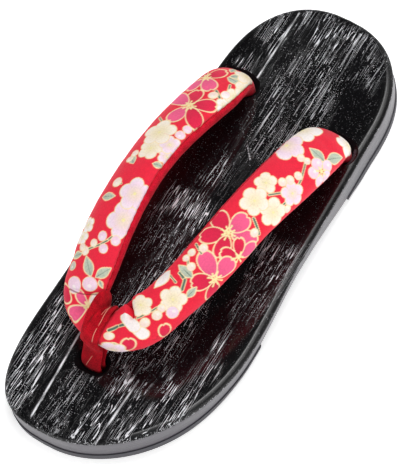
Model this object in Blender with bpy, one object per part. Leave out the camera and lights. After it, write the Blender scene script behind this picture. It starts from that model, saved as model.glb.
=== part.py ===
"""A left geta sandal: lacquered wooden footbed, two rubber pads and a padded thong strap.

The sandal stands on z = 0 with its toe towards +Y and its big toe side towards +X.
The origin is the middle of the sole's box, on the floor. Units are metres.
"""
import math

import bmesh
import bpy
import numpy as np

# Plan of the sole
SOLE_LENGTH = 0.245
BALL_WIDTH = 0.0982
HEEL_WIDTH = 0.0838
HEEL_ROUND_LENGTH = 0.050
HEEL_ROUND_POWER = 2.35
TOE_ROUND_LENGTH = 0.080
TOE_ROUND_POWER = 2.4
TOE_SWEEP = 0.0166
HEEL_SWEEP = -0.0014

# Heights of the sole above the floor
HEEL_HEIGHT = 0.0225
BALL_HEIGHT = 0.0180
TOE_SPRING = 0.0016
DISH_DEPTH = 0.0018
ARCH_RISE = 0.0042
WALL_LEAN = 0.0036
EDGE_ROUND_WIDTH = 0.0034
EDGE_ROUND_DROP = 0.0017

# Rubber pads under heel and forefoot
RUBBER_THICKNESS = 0.0055
RUBBER_PROUD = 0.0005
RUBBER_BEVEL = 0.0008
HEEL_PAD_LENGTH = 0.0735
FOREFOOT_PAD_LENGTH = 0.0890

# Clearances
SEAT_GAP = 0.0003
HOLE_CLEARANCE = 0.0005

# Holes in the footbed
REAR_HOLE_WIDTH = 0.0190
REAR_HOLE_THICKNESS = 0.0100
FRONT_HOLE_REACH = 0.0812
COUNTERSINK_WIDTH = 0.0026
COUNTERSINK_DEPTH = 0.0030
TENON_DEPTH = 0.0085

# Padded strap and toe loop
STRAP_WIDTH = 0.0246
STRAP_THICKNESS = 0.0130
STRAP_RISE = 0.0355
SEAM_ABOVE_INSIDE = 0.0012
SEAM_BELOW_OUTSIDE = 0.0030
LOOP_WIDTH = 0.0104
LOOP_THICKNESS = 0.0028
LOOP_LEAN = 0.0016

# A row for each section of the sole, heel to toe.
# swell runs from heel width to ball width, rim from ball height to heel height.
SOLE_COLUMNS = ("along", "swell", "rim", "spring", "dish", "lean")
SOLE_ROWS = (
    (0.00, 0.00, 1.00, 0.00, 0.20, 0.10),
    (0.10, 0.00, 1.00, 0.00, 0.80, 0.30),
    (0.20, 0.02, 0.95, 0.00, 1.00, 0.40),
    (0.32, 0.24, 0.80, 0.00, 0.70, 0.45),
    (0.43, 0.42, 0.60, 0.00, 0.40, 0.75),
    (0.50, 0.56, 0.42, 0.00, 0.50, 0.95),
    (0.57, 0.79, 0.25, 0.00, 0.75, 1.00),
    (0.65, 0.99, 0.08, 0.00, 1.00, 0.95),
    (0.75, 1.00, 0.00, 0.08, 1.00, 0.80),
    (0.86, 1.00, 0.00, 0.40, 0.60, 0.35),
    (1.00, 1.00, 0.00, 1.00, 0.20, 0.10),
)

# A row for each section of the strap's arms.
# across is a share of half the ball width, along a share of the sole's length from the heel,
# height a share of the strap's rise, width and thick are shares of the strap's own, and tilt
# is in degrees, outer edge down.
ARM_COLUMNS = ("across", "along", "height", "width", "thick", "tilt")
LATERAL_ARM_ROWS = (
    (-0.598, 0.2480, 0.215, 0.79, 0.78, 0.0),
    (-0.596, 0.2650, 0.395, 0.94, 0.94, 6.0),
    (-0.590, 0.3050, 0.590, 1.02, 1.00, 16.0),
    (-0.572, 0.3670, 0.775, 1.03, 1.00, 22.0),
    (-0.542, 0.4260, 0.905, 1.00, 1.00, 26.0),
    (-0.503, 0.4820, 0.965, 0.97, 1.00, 26.0),
    (-0.408, 0.5950, 0.925, 0.95, 1.00, 22.0),
    (-0.291, 0.6750, 0.810, 0.90, 0.98, 16.0),
)
MEDIAL_ARM_ROWS = (
    (0.584, 0.2230, 0.215, 0.77, 0.78, 0.0),
    (0.570, 0.2400, 0.395, 0.87, 0.94, 6.0),
    (0.572, 0.2830, 0.570, 0.98, 1.00, 14.0),
    (0.600, 0.3350, 0.700, 1.02, 1.00, 20.0),
    (0.633, 0.4080, 0.840, 1.01, 1.00, 24.0),
    (0.626, 0.5150, 0.995, 0.97, 1.00, 25.0),
    (0.592, 0.6100, 0.985, 0.98, 1.00, 20.0),
    (0.544, 0.6980, 0.810, 0.95, 0.98, 14.0),
)

# A row for each section of the bend around the crotch, narrowest where the loop pinches it.
# turn is an angle in degrees from +X, and reach a share of the strap's width from the crotch
# to the strap's middle line.
BEND_COLUMNS = ("turn", "reach", "height", "width", "thick", "tilt")
BEND_ROWS = (
    (150.0, 0.612, 0.650, 0.86, 0.94, 8.0),
    (120.0, 0.570, 0.600, 0.70, 0.92, 3.0),
    (88.0, 0.543, 0.570, 0.52, 0.90, 0.0),
    (54.0, 0.543, 0.600, 0.63, 0.91, 3.0),
    (20.0, 0.546, 0.670, 0.81, 0.94, 8.0),
)

# A row for each section of the loop. wrap is the angle around the strap's section in degrees,
# from its front edge over its top. width is a share of the loop's own.
LOOP_COLUMNS = ("wrap", "width")
LOOP_ROWS = (
    (-30.0, 1.00),
    (5.0, 0.98),
    (50.0, 0.94),
    (90.0, 0.92),
    (130.0, 0.86),
    (155.0, 0.70),
    (180.0, 0.60),
    (205.0, 0.58),
    (232.0, 0.72),
)

# Places of the strap as shares of half the ball width and of the sole's length
CROTCH_ACROSS = 0.226
CROTCH_ALONG = 0.7388
REAR_HOLES = {
    "lateral": (-0.598, 0.2460),
    "medial": (0.586, 0.2190),
}

# Powers of the superellipses that give sections their roundness, 2 being an ellipse
STRAP_POWER = 2.4
LOOP_POWER = 2.6
FRONT_HOLE_POWER = 3.2

# Counts
SIDE_STATIONS = 17
ARCH_STATIONS = 13
TOP_COLUMNS = 12
UNDER_COLUMNS = 4
ROUND_STEPS = 3
STRAP_STATIONS = 84
COVER_POINTS = 13
LINING_POINTS = 8
FIT_STEPS = 9
FIT_WINDOW = 0.0006
LOOP_STATIONS = 48
LOOP_POINTS = 16
HOLE_POINTS = 32
CURVE_STEPS = 700

# Shapes with no size of their own
ARCH_POWER = 0.7
TIP_WIDTH = 1e-9
SLOPE_STEP = 1e-4
LEVEL_SHARE = 0.5
CREASE_ANGLE = 38.0
HEADING_BLEND = (1, 2, 3, 2, 1)

COLOURS = {
    "lacquer": ((0.012, 0.012, 0.014), 0.22),
    "rubber": ((0.085, 0.083, 0.095), 0.60),
    "cotton": ((0.78, 0.02, 0.05), 0.75),
    "velvet": ((0.42, 0.004, 0.02), 0.90),
}


def column(rows, names, name):
    """Return one named column of a table as an array."""
    return np.array([row[names.index(name)] for row in rows])


def smooth(at, knots, values):
    """Read values at the places asked for, on a curve that passes smoothly through the knots."""
    at = np.clip(np.asarray(at, float), knots[0], knots[-1])
    slopes = np.gradient(values, knots, axis=0)
    cell = np.clip(np.searchsorted(knots, at, side="right") - 1, 0, len(knots) - 2)
    step = knots[cell + 1] - knots[cell]
    u = (at - knots[cell]) / step
    if values.ndim > 1:
        u = u[:, None]
        step = step[:, None]
    rise = values[cell + 1] - values[cell]
    start = slopes[cell] * step
    end = slopes[cell + 1] * step
    return values[cell] + start * u + (3 * rise - 2 * start - end) * u**2 + (start + end - 2 * rise) * u**3


def sole_column(share, name):
    """Return a column of the sole's table at shares of the sole's length."""
    return smooth(share, column(SOLE_ROWS, SOLE_COLUMNS, "along"), column(SOLE_ROWS, SOLE_COLUMNS, name))


def end_round(distance, length, power):
    """Return the share of full width at a distance from a rounded end."""
    left = 1 - np.clip(distance / length, 0, 1)
    return (1 - left**power) ** (1 / power)


def half_width(share):
    """Return half the width of the sole's plan at shares of its length."""
    width = HEEL_WIDTH + (BALL_WIDTH - HEEL_WIDTH) * sole_column(share, "swell")
    heel = end_round(share * SOLE_LENGTH, HEEL_ROUND_LENGTH, HEEL_ROUND_POWER)
    toe = end_round((1 - share) * SOLE_LENGTH, TOE_ROUND_LENGTH, TOE_ROUND_POWER)
    return width / 2 * heel * toe


def spine(share):
    """Return the x of the plan's middle line, which sweeps towards the big toe."""
    toe_start = 1 - TOE_ROUND_LENGTH / SOLE_LENGTH
    sweep = np.clip((share - toe_start) / (1 - toe_start), 0, 1)
    heel = np.clip(1 - share / toe_start, 0, 1)
    return TOE_SWEEP * sweep**2 + HEEL_SWEEP * heel


def edge(share, side, inset=0.0):
    """Return x and y of the plan's edge, medial at side +1, moved in along its normal."""
    ahead = np.clip(share + SLOPE_STEP, 0, 1)
    behind = np.clip(share - SLOPE_STEP, 0, 1)
    x = spine(share) + side * half_width(share)
    y = (share - 0.5) * SOLE_LENGTH
    run = (ahead - behind) * SOLE_LENGTH
    lean = spine(ahead) + side * half_width(ahead) - spine(behind) - side * half_width(behind)
    length = np.hypot(run, lean)
    return x - side * run / length * inset, y + side * lean / length * inset


def rim_height(share):
    """Return the height of the footbed's rim."""
    heel = (HEEL_HEIGHT - BALL_HEIGHT) * sole_column(share, "rim")
    return BALL_HEIGHT + heel + TOE_SPRING * sole_column(share, "spring")


def top_height(x, share):
    """Return the height of the dished top of the footbed."""
    reach = np.maximum(half_width(share) - EDGE_ROUND_WIDTH, EDGE_ROUND_WIDTH)
    off = np.clip(np.abs(x - spine(share)) / reach, 0, 1)
    return rim_height(share) - DISH_DEPTH * sole_column(share, "dish") * (1 - off**2) ** 2


def seat_height(share):
    """Return the height of the wood's underside, flat over the pads and raised at the arch."""
    start = HEEL_PAD_LENGTH / SOLE_LENGTH
    end = 1 - FOREFOOT_PAD_LENGTH / SOLE_LENGTH
    u = np.clip((share - start) / (end - start), 0, 1)
    return RUBBER_THICKNESS + SEAT_GAP + ARCH_RISE * np.sin(math.pi * u) ** ARCH_POWER


def wall_inset(share, height):
    """Return how far the leaning side wall stands in from the plan at a height."""
    top = rim_height(share) - EDGE_ROUND_DROP
    return WALL_LEAN * sole_column(share, "lean") * np.clip((top - height) / top, 0, 1)


def stations():
    """Return shares of the length, close together at the ends, with one at each end of the arch."""
    start = HEEL_PAD_LENGTH / SOLE_LENGTH
    end = 1 - FOREFOOT_PAD_LENGTH / SOLE_LENGTH
    turn = np.linspace(0, math.pi / 2, SIDE_STATIONS)
    heel = start * (1 - np.cos(turn))
    toe = 1 - (1 - end) * (1 - np.cos(turn[::-1]))
    arch = np.linspace(start, end, ARCH_STATIONS)
    return heel, arch, toe


def finish(name, vertices, faces, material):
    """Make an object of vertices and faces, closed and facing out."""
    mesh = bpy.data.meshes.new(name)
    mesh.from_pydata([tuple(v) for v in vertices], [], faces)
    work = bmesh.new()
    work.from_mesh(mesh)
    bmesh.ops.recalc_face_normals(work, faces=work.faces)
    work.to_mesh(mesh)
    work.free()
    mesh.shade_smooth()
    mesh.set_sharp_from_angle(angle=math.radians(CREASE_ANGLE))
    part = bpy.data.objects.new(name, mesh)
    bpy.context.scene.collection.objects.link(part)
    if material:
        mesh.materials.append(bpy.data.materials[material])
    return part


def slab(name, shares, levels, caps, material):
    """Build a solid of edge loops, one for each level, closed by a lid at both ends.

    A level gives the inset and height at each share. A cap gives a lid's height at x and share,
    and its number of columns. A loop has one point at a share where the plan comes to a tip.
    """
    vertices = []
    faces = []
    loops = []
    for inset, height in levels:
        loop = {}
        for side in (1, -1):
            x, y = edge(shares, side, inset)
            for i in range(len(shares)):
                tip = half_width(shares[i]) < TIP_WIDTH
                if tip and side < 0:
                    loop[i, side] = loop[i, 1]
                    continue
                loop[i, side] = len(vertices)
                vertices.append((x[i], y[i], height[i]))
        ring = [loop[i, 1] for i in range(len(shares))]
        back = [loop[i, -1] for i in range(len(shares)) if loop[i, -1] != loop[i, 1]]
        loops.append((loop, ring + back[::-1]))
    for (_, low), (_, high) in zip(loops, loops[1:]):
        for i in range(len(low)):
            j = (i + 1) % len(low)
            faces.append((low[i], low[j], high[j], high[i]))
    for (loop, _), (lid, columns) in zip((loops[0], loops[-1]), caps):
        rows = []
        for i, share in enumerate(shares):
            if loop[i, 1] == loop[i, -1]:
                rows.append([loop[i, 1]])
                continue
            medial = np.array(vertices[loop[i, 1]])
            lateral = np.array(vertices[loop[i, -1]])
            row = [loop[i, 1]]
            blunt = i in (0, len(shares) - 1)
            for c in range(1, 1 if blunt else columns):
                x, y, _ = medial + (lateral - medial) * c / columns
                row.append(len(vertices))
                vertices.append((x, y, float(lid(x, share))))
            rows.append(row + [loop[i, -1]])
        for this, that in zip(rows, rows[1:]):
            if len(this) == len(that):
                faces.extend((this[c], that[c], that[c + 1], this[c + 1]) for c in range(columns))
            else:
                faces.append(tuple(this + that[::-1]))
    return finish(name, vertices, faces, material)


def tube(name, rings, material):
    """Build a solid of closed rings of points, with a flat lid at both ends.

    The strip that closes the ring is cut into triangles one way, so that two tubes which meet
    along it bend alike.
    """
    count = len(rings[0])
    vertices = np.concatenate(rings)
    faces = [tuple(range(count)), tuple(range(len(vertices) - count, len(vertices)))]
    for low in range(0, len(vertices) - count, count):
        high = low + count
        faces.extend((low + i, low + i + 1, high + i + 1, high + i) for i in range(count - 1))
        faces.append((low + count - 1, low, high + count - 1))
        faces.append((low, high, high + count - 1))
    return finish(name, vertices, faces, material)


def superellipse(turn, power):
    """Return the unit point of a superellipse at an angle."""
    c = np.cos(turn)
    s = np.sin(turn)
    return np.sign(c) * np.abs(c) ** (2 / power), np.sign(s) * np.abs(s) ** (2 / power)


def along_curve(points, count, spread):
    """Return the knots of a smooth curve through points, and places along it to read it at.

    The places are equal steps along an edge that runs outside the curve at the spread's
    distance, so that bends get more of them.
    """
    steps = np.linalg.norm(np.diff(points, axis=0), axis=1)
    knots = np.concatenate(([0.0], np.cumsum(steps)))
    fine = np.linspace(0, knots[-1], CURVE_STEPS)
    move = np.diff(smooth(fine, knots, points), axis=0)
    length = np.linalg.norm(move, axis=1)
    bend = np.linalg.norm(np.diff(move / length[:, None], axis=0, prepend=move[:1] / length[0]), axis=1)
    run = np.concatenate(([0.0], np.cumsum(length + spread * bend)))
    return knots, np.interp(np.linspace(0, run[-1], count), run, fine)


def footbed():
    """Build the wooden footbed before its holes are cut."""
    heel, arch, toe = stations()
    shares = np.concatenate((heel, arch[1:-1], toe))
    rim = rim_height(shares)
    seat = seat_height(shares)
    arris = rim - EDGE_ROUND_DROP
    levels = [(wall_inset(shares, seat), seat), (0 * shares, arris)]
    for k in range(1, ROUND_STEPS + 1):
        turn = math.pi / 2 * k / ROUND_STEPS
        inset = EDGE_ROUND_WIDTH * (1 - math.cos(turn))
        levels.append((inset + 0 * shares, arris + EDGE_ROUND_DROP * math.sin(turn)))
    caps = ((lambda x, share: seat_height(share), UNDER_COLUMNS), (top_height, TOP_COLUMNS))
    return slab("footbed", shares, levels, caps, "lacquer")


def rubber_pad(name, shares):
    """Build one rubber pad, flat below and a seat gap under the wood."""
    base = 0 * shares
    top = base + RUBBER_THICKNESS
    proud = wall_inset(shares, base) - RUBBER_PROUD
    levels = [
        (proud + RUBBER_BEVEL, base),
        (proud, base + RUBBER_BEVEL),
        (wall_inset(shares, top) - RUBBER_PROUD, top),
    ]
    caps = ((lambda x, share: 0.0, UNDER_COLUMNS), (lambda x, share: RUBBER_THICKNESS, UNDER_COLUMNS))
    return slab(name, shares, levels, caps, "rubber")


def hole_profile(width, thickness, depth):
    """Return half width and half thickness of a countersunk hole at depths below the surface."""
    open_up = COUNTERSINK_WIDTH * np.clip(1 - depth / COUNTERSINK_DEPTH, 0, 2)
    return width / 2 + open_up, thickness / 2 + open_up


def cut_hole(part, name, place, heading, width, thickness, surface, power):
    """Cut a countersunk oval hole right through a part."""
    across = np.array((-math.sin(heading), math.cos(heading), 0.0))
    ahead = np.array((math.cos(heading), math.sin(heading), 0.0))
    turn = np.linspace(0, 2 * math.pi, HOLE_POINTS, endpoint=False)
    w, n = superellipse(turn, power)
    rings = []
    for depth in (-COUNTERSINK_DEPTH, COUNTERSINK_DEPTH, surface + COUNTERSINK_DEPTH):
        half_w, half_n = hole_profile(width, thickness, depth)
        centre = np.array((place[0], place[1], surface - depth))
        rings.append(centre + np.outer(w * half_w, across) + np.outer(n * half_n, ahead))
    cutter = tube(name, rings, None)
    cutter.hide_render = True
    cutter.display_type = "WIRE"
    cut = part.modifiers.new(name, "BOOLEAN")
    cut.object = cutter
    cut.operation = "DIFFERENCE"
    cut.solver = "EXACT"


def surface_at(place):
    """Return the height of the footbed's top at a place on the plan."""
    share = place[1] / SOLE_LENGTH + 0.5
    return float(top_height(place[0], share))


def place_of(across, along):
    """Return x and y of a place given as shares of half the ball width and of the length."""
    return np.array((across * BALL_WIDTH / 2, (along - 0.5) * SOLE_LENGTH))


def arm_points(rows):
    """Return points and other columns of an arm's rows."""
    across, along, height, *rest = (column(rows, ARM_COLUMNS, name) for name in ARM_COLUMNS)
    x, y = place_of(across, along)
    return np.stack((x, y, BALL_HEIGHT + height * STRAP_RISE), axis=1), np.stack(rest, axis=1)


def bend_points():
    """Return points and other columns of the bend around the crotch."""
    turn, reach, height, *rest = (column(BEND_ROWS, BEND_COLUMNS, name) for name in BEND_COLUMNS)
    crotch_x, crotch_y = place_of(CROTCH_ACROSS, CROTCH_ALONG)
    x = crotch_x + reach * STRAP_WIDTH * np.cos(np.radians(turn))
    y = crotch_y + reach * STRAP_WIDTH * np.sin(np.radians(turn))
    return np.stack((x, y, BALL_HEIGHT + height * STRAP_RISE), axis=1), np.stack(rest, axis=1)


def pinch_centre():
    """Return the place straight ahead of the crotch that the loop goes round, where the bend is narrowest."""
    narrowest = np.argmin(column(BEND_ROWS, BEND_COLUMNS, "width"))
    _, reach, height, *_ = BEND_ROWS[narrowest]
    x, y = place_of(CROTCH_ACROSS, CROTCH_ALONG)
    return np.array((x, y + reach * STRAP_WIDTH, BALL_HEIGHT + height * STRAP_RISE))


def tenon_points(side):
    """Return points and other columns of a strap's end, from its tip up to the surface."""
    place = place_of(*REAR_HOLES[side])
    surface = surface_at(place)
    points = []
    columns = []
    for depth in (TENON_DEPTH, TENON_DEPTH / 2, 0.0):
        half_w, half_n = hole_profile(REAR_HOLE_WIDTH, REAR_HOLE_THICKNESS, max(depth, COUNTERSINK_DEPTH))
        width = 2 * (half_w - HOLE_CLEARANCE) / STRAP_WIDTH
        thick = 2 * (half_n - HOLE_CLEARANCE) / STRAP_THICKNESS
        points.append((place[0], place[1], surface - depth))
        columns.append((width, thick, 0.0))
    return points, columns


def strap_path():
    """Return the strap's middle line from the lateral hole round the bend to the medial hole."""
    pieces = (
        tenon_points("lateral"),
        arm_points(LATERAL_ARM_ROWS),
        bend_points(),
        tuple(part[::-1] for part in arm_points(MEDIAL_ARM_ROWS)),
        tuple(part[::-1] for part in tenon_points("medial")),
    )
    points = np.array([p for piece in pieces for p in piece[0]])
    columns = np.array([c for piece in pieces for c in piece[1]])
    knots, at = along_curve(points, STRAP_STATIONS, STRAP_WIDTH / 2)
    return smooth(at, knots, points), smooth(at, knots, columns)


def strap_frames(points, columns):
    """Return the unit vectors across each section, outer side first, and up through it."""
    tangent = np.gradient(points, axis=0)
    tangent /= np.linalg.norm(tangent, axis=1)[:, None]
    plan = np.linalg.norm(tangent[:, :2], axis=1)
    heading = np.unwrap(np.arctan2(tangent[:, 1], tangent[:, 0]))
    level = np.flatnonzero(plan > LEVEL_SHARE)
    heading = np.interp(np.arange(len(points)), level, heading[level])
    padded = np.pad(heading, len(HEADING_BLEND) // 2, mode="edge")
    heading = np.convolve(padded, HEADING_BLEND, mode="valid") / sum(HEADING_BLEND)
    out = np.stack((-np.sin(heading), np.cos(heading), 0 * heading), axis=1)
    up = np.cross(tangent, out)
    up /= np.linalg.norm(up, axis=1)[:, None]
    *_, tilt = np.radians(columns).T
    tilt = tilt[:, None]
    return out * np.cos(tilt) - up * np.sin(tilt), up * np.cos(tilt) + out * np.sin(tilt), heading


def seam_turn(offset):
    """Return the angle on the strap's section of a seam at an offset from its middle."""
    return math.asin((2 * offset / STRAP_THICKNESS) ** (STRAP_POWER / 2))


def strap_rings():
    """Return the rings of points of the strap's printed cover and of its velvet lining."""
    points, columns = strap_path()
    out, up, _ = strap_frames(points, columns)
    inside = math.pi - seam_turn(SEAM_ABOVE_INSIDE)
    outside = -seam_turn(SEAM_BELOW_OUTSIDE)
    over = np.linspace(outside, inside, COVER_POINTS)
    under = np.linspace(outside, inside - 2 * math.pi, LINING_POINTS)
    width, thick, _ = columns.T
    half_w = width * STRAP_WIDTH / 2
    half_n = thick * STRAP_THICKNESS / 2
    both = []
    for turn, gap in ((over, 0.0), (under, SEAT_GAP)):
        w, n = superellipse(turn, STRAP_POWER)
        rings = []
        for i in range(len(points)):
            section = np.outer(w * half_w[i], out[i]) + np.outer(n * half_n[i], up[i])
            seam = section[-1] - section[0]
            away = np.cross(seam, np.cross(out[i], up[i]))
            away *= gap / np.linalg.norm(away)
            away *= np.sign(away @ section[len(section) // 2])
            rings.append(points[i] + away + section)
        both.append(np.array(rings))
    return both


def strap():
    """Build the printed cover and the velvet lining of the strap."""
    cover, lining = strap_rings()
    tube("strap_cover", cover, "cotton")
    tube("strap_lining", lining, "velvet")


def front_hole():
    """Return the place of the front hole, ahead of the crotch."""
    return np.array((place_of(CROTCH_ACROSS, CROTCH_ALONG)[0] + LOOP_LEAN, FRONT_HOLE_REACH))


def strap_reach(centre, wrap, offset):
    """Return how far the strap's surface reaches from a centre, at angles in the YZ plane.

    The surface counts where it is ahead of the crotch, and within the fit window of an offset in x.
    """
    rings = np.concatenate(strap_rings(), axis=1)
    share = np.linspace(0, 1, FIT_STEPS)[:, None, None, None]
    surface = (rings[:-1] * (1 - share) + rings[1:] * share).reshape(-1, 3) - centre
    ahead = np.outer(surface[:, 1], np.cos(wrap)) + np.outer(surface[:, 2], np.sin(wrap))
    bend = surface[:, 1:2] > place_of(CROTCH_ACROSS, CROTCH_ALONG)[1] - centre[1]
    beside = np.abs(surface[:, :1] - offset) <= FIT_WINDOW
    return np.where(beside & bend, ahead, 0.0).max(axis=0)


def loop_line(across):
    """Return points along the loop's middle surface, at a share of its half width.

    The line comes up from the front hole, goes over the bend, down through the crotch and back
    under the bend into the hole, behind its own front leg.
    """
    centre = pinch_centre()
    wrap = np.radians(column(LOOP_ROWS, LOOP_COLUMNS, "wrap"))
    offset = across * column(LOOP_ROWS, LOOP_COLUMNS, "width") * LOOP_WIDTH / 2
    off = strap_reach(centre, wrap, offset) + SEAT_GAP + LOOP_THICKNESS / 2
    ring = centre + np.stack((offset, off * np.cos(wrap), off * np.sin(wrap)), axis=1)
    x, y = front_hole()
    surface = surface_at((x, y))
    x += across * LOOP_WIDTH / 2
    leg = LOOP_THICKNESS / 2 + SEAT_GAP
    front = [(x, y + leg, surface - TENON_DEPTH), (x, y + leg, surface)]
    rear = [(x, y - leg, surface), (x, y - leg, surface - TENON_DEPTH)]
    points = np.concatenate((front, ring, rear))
    knots, at = along_curve(points, LOOP_STATIONS, LOOP_THICKNESS)
    return smooth(at, knots, points)


def toe_loop():
    """Build the velvet loop that holds the strap's bend down to the front hole."""
    turn = np.linspace(0, 2 * math.pi, LOOP_POINTS, endpoint=False)
    w, n = superellipse(turn, LOOP_POWER)
    lines = []
    for across, through in zip(w, n):
        line = loop_line(across)
        normal = np.cross(np.gradient(line, axis=0), (1.0, 0.0, 0.0))
        normal /= np.linalg.norm(normal, axis=1)[:, None]
        lines.append(line + through * LOOP_THICKNESS / 2 * normal)
    tube("toe_loop", np.stack(lines, axis=1), "velvet")


def materials():
    """Make the plain material of each kind of piece."""
    for name, (colour, roughness) in COLOURS.items():
        material = bpy.data.materials.new(name)
        material.use_nodes = True
        shader = material.node_tree.nodes["Principled BSDF"]
        shader.inputs["Base Color"].default_value = (*colour, 1.0)
        shader.inputs["Roughness"].default_value = roughness
        shader.inputs["Metallic"].default_value = 0.0


def clear():
    """Remove every object of the open scene."""
    for thing in list(bpy.data.objects):
        bpy.data.objects.remove(thing, do_unlink=True)


def cut_holes(wood):
    """Cut the two rear holes for the strap's ends and the front hole for the loop."""
    points, columns = strap_path()
    _, _, heading = strap_frames(points, columns)
    for side, turn in (("lateral", heading[0]), ("medial", heading[-1])):
        place = place_of(*REAR_HOLES[side])
        surface = surface_at(place)
        cut_hole(wood, "hole_" + side, place, turn, REAR_HOLE_WIDTH, REAR_HOLE_THICKNESS, surface, STRAP_POWER)
    front = front_hole()
    width = LOOP_WIDTH + 2 * HOLE_CLEARANCE
    thickness = 2 * (LOOP_THICKNESS + SEAT_GAP + HOLE_CLEARANCE)
    surface = surface_at(front)
    cut_hole(wood, "hole_front", front, math.pi / 2, width, thickness, surface, FRONT_HOLE_POWER)


def main():
    """Build the sandal."""
    clear()
    materials()
    heel, _, toe = stations()
    wood = footbed()
    cut_holes(wood)
    rubber_pad("heel_rubber", heel)
    rubber_pad("forefoot_rubber", toe)
    strap()
    toe_loop()


main()
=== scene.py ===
import logging
import math
from dataclasses import dataclass, field
from enum import Enum
from typing import Sequence

import bmesh
import bpy
import numpy as np
from mathutils import Matrix, Vector


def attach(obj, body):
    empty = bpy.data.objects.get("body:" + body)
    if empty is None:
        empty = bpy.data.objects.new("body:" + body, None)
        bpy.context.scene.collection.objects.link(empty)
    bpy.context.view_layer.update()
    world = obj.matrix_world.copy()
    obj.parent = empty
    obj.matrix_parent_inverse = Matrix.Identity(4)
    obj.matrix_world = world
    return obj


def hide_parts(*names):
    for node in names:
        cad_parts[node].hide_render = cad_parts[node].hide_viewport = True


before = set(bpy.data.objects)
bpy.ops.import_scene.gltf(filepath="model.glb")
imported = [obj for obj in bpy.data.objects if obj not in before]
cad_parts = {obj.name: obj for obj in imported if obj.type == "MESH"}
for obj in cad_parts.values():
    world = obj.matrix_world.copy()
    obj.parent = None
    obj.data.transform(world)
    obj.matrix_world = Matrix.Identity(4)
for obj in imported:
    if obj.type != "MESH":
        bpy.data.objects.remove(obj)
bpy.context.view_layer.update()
MM = 0.001
SEAT_GAP = 0.3 * MM

log = logging.getLogger("geta")
Array = np.ndarray
Triple = tuple[float, float, float]
Colour = tuple[float, float, float, float]
Rows = tuple[tuple[float, ...], ...]
FULL_TURN = 2 * math.pi
WELD = 0.004 * MM
CREASE_ANGLE = math.radians(34)


class Side(Enum):
    """The sandal's two sides, valued by the sign of x."""

    MEDIAL = 1
    LATERAL = -1


class Ink(Enum):
    """The inks and dyes of the print, and the painted shade of its creases, as display values from 0 to
    255.
    """

    GROUND = (238, 30, 60)
    CRIMSON = (226, 28, 72)
    PINK = (246, 92, 140)
    OUTLINE = (250, 226, 176)
    CREAM = (252, 238, 216)
    LILAC = (246, 218, 236)
    WHITE = (253, 243, 240)
    HEART = (240, 222, 160)
    LEAF = (196, 204, 184)
    STEM = (78, 112, 98)
    STAMEN = (246, 232, 168)
    BLUSH = (244, 188, 204)
    # painted shade for the cloth's creases, not an ink of the print
    CREASE_SHADE = (112, 26, 34)

    def linear(self) -> Array:
        """Return the ink as linear light."""
        share = np.array(self.value) / 255
        return np.where(share <= 0.04045, share / 12.92, ((share + 0.055) / 1.055) ** 2.4)


Motifs = tuple[tuple[float | Ink, ...], ...]


def smooth(at: Array, knots: Array, values: Array) -> Array:
    """Read values on a curve that passes smoothly through its knots.

    Each cell is a cubic whose slopes at both ends are the central differences of the values.

    Args:
        at: places to read, clipped to the knots' range.
        knots: rising places of the values.
        values: one row for each knot, of any shape.

    Returns:
        One row for each place.
    """
    at = np.clip(at, knots[0], knots[-1])
    slopes = np.gradient(values, knots, axis=0)
    cell = np.clip(np.searchsorted(knots, at, side="right") - 1, 0, len(knots) - 2)
    wide = (slice(None),) + (None,) * (values.ndim - 1)
    step = (knots[cell + 1] - knots[cell])[wide]
    u = (at - knots[cell])[wide] / step
    rise = values[cell + 1] - values[cell]
    start = slopes[cell] * step
    end = slopes[cell + 1] * step
    return values[cell] + start * u + (3 * rise - 2 * start - end) * u**2 + (start + end - 2 * rise) * u**3


def superellipse(turn: Array, power: float) -> tuple[Array, Array]:
    """Return the unit superellipse's point at an angle: each coordinate's size is cos or sin to 2/power."""
    c, s = np.cos(turn), np.sin(turn)
    return np.sign(c) * np.abs(c) ** (2 / power), np.sign(s) * np.abs(s) ** (2 / power)


def ease(value: Array, low: float, high: float) -> Array:
    """Rise from 0 at low to 1 at high along a cubic that is level at both ends."""
    u = np.clip((value - low) / (high - low), 0, 1)
    return u * u * (3 - 2 * u)


def unit(vectors: Array) -> Array:
    """Return vectors divided by their lengths."""
    return vectors / np.linalg.norm(vectors, axis=-1, keepdims=True)


def turned(x: Array, y: Array, angle: float) -> tuple[Array, Array]:
    """Return coordinates along and across a direction, given by its angle."""
    return x * math.cos(angle) + y * math.sin(angle), y * math.cos(angle) - x * math.sin(angle)


def run_along(points: Array) -> Array:
    """Return the running length of the line through points, from 0."""
    return np.concatenate(([0.0], np.cumsum(np.linalg.norm(np.diff(points, axis=0), axis=1))))


def span(first: Array, last: Array, columns: int) -> tuple[Array, Array]:
    """Return even steps between two edges, without the edges: the points, and the steps' shares.

    Args:
        first: points of one edge.
        last: points of the other edge.
        columns: how many steps there are from edge to edge.

    Returns:
        The points as edge points by steps by three, and the shares as one row.
    """
    step = np.linspace(0, 1, columns + 1)[None, 1:-1]
    share = step[..., None]
    return first[:, None] * (1 - share) + last[:, None] * share, step


def ripple(x: Array, y: Array, waves: Sequence[Triple]) -> Array:
    """Sum sine waves across two coordinates, each wave given by its two frequencies and its phase."""
    return sum(np.sin(a * x + b * y + phase) for a, b, phase in waves) / len(waves)


def show(name: str, data: bpy.types.ID) -> bpy.types.Object:
    """Return a new object of some data, linked to the scene.

    Args:
        name: the object's name.
        data: its mesh, lamp or camera.

    Returns:
        The object.
    """
    thing = bpy.data.objects.new(name, data)
    bpy.context.scene.collection.objects.link(thing)
    return thing


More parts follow.
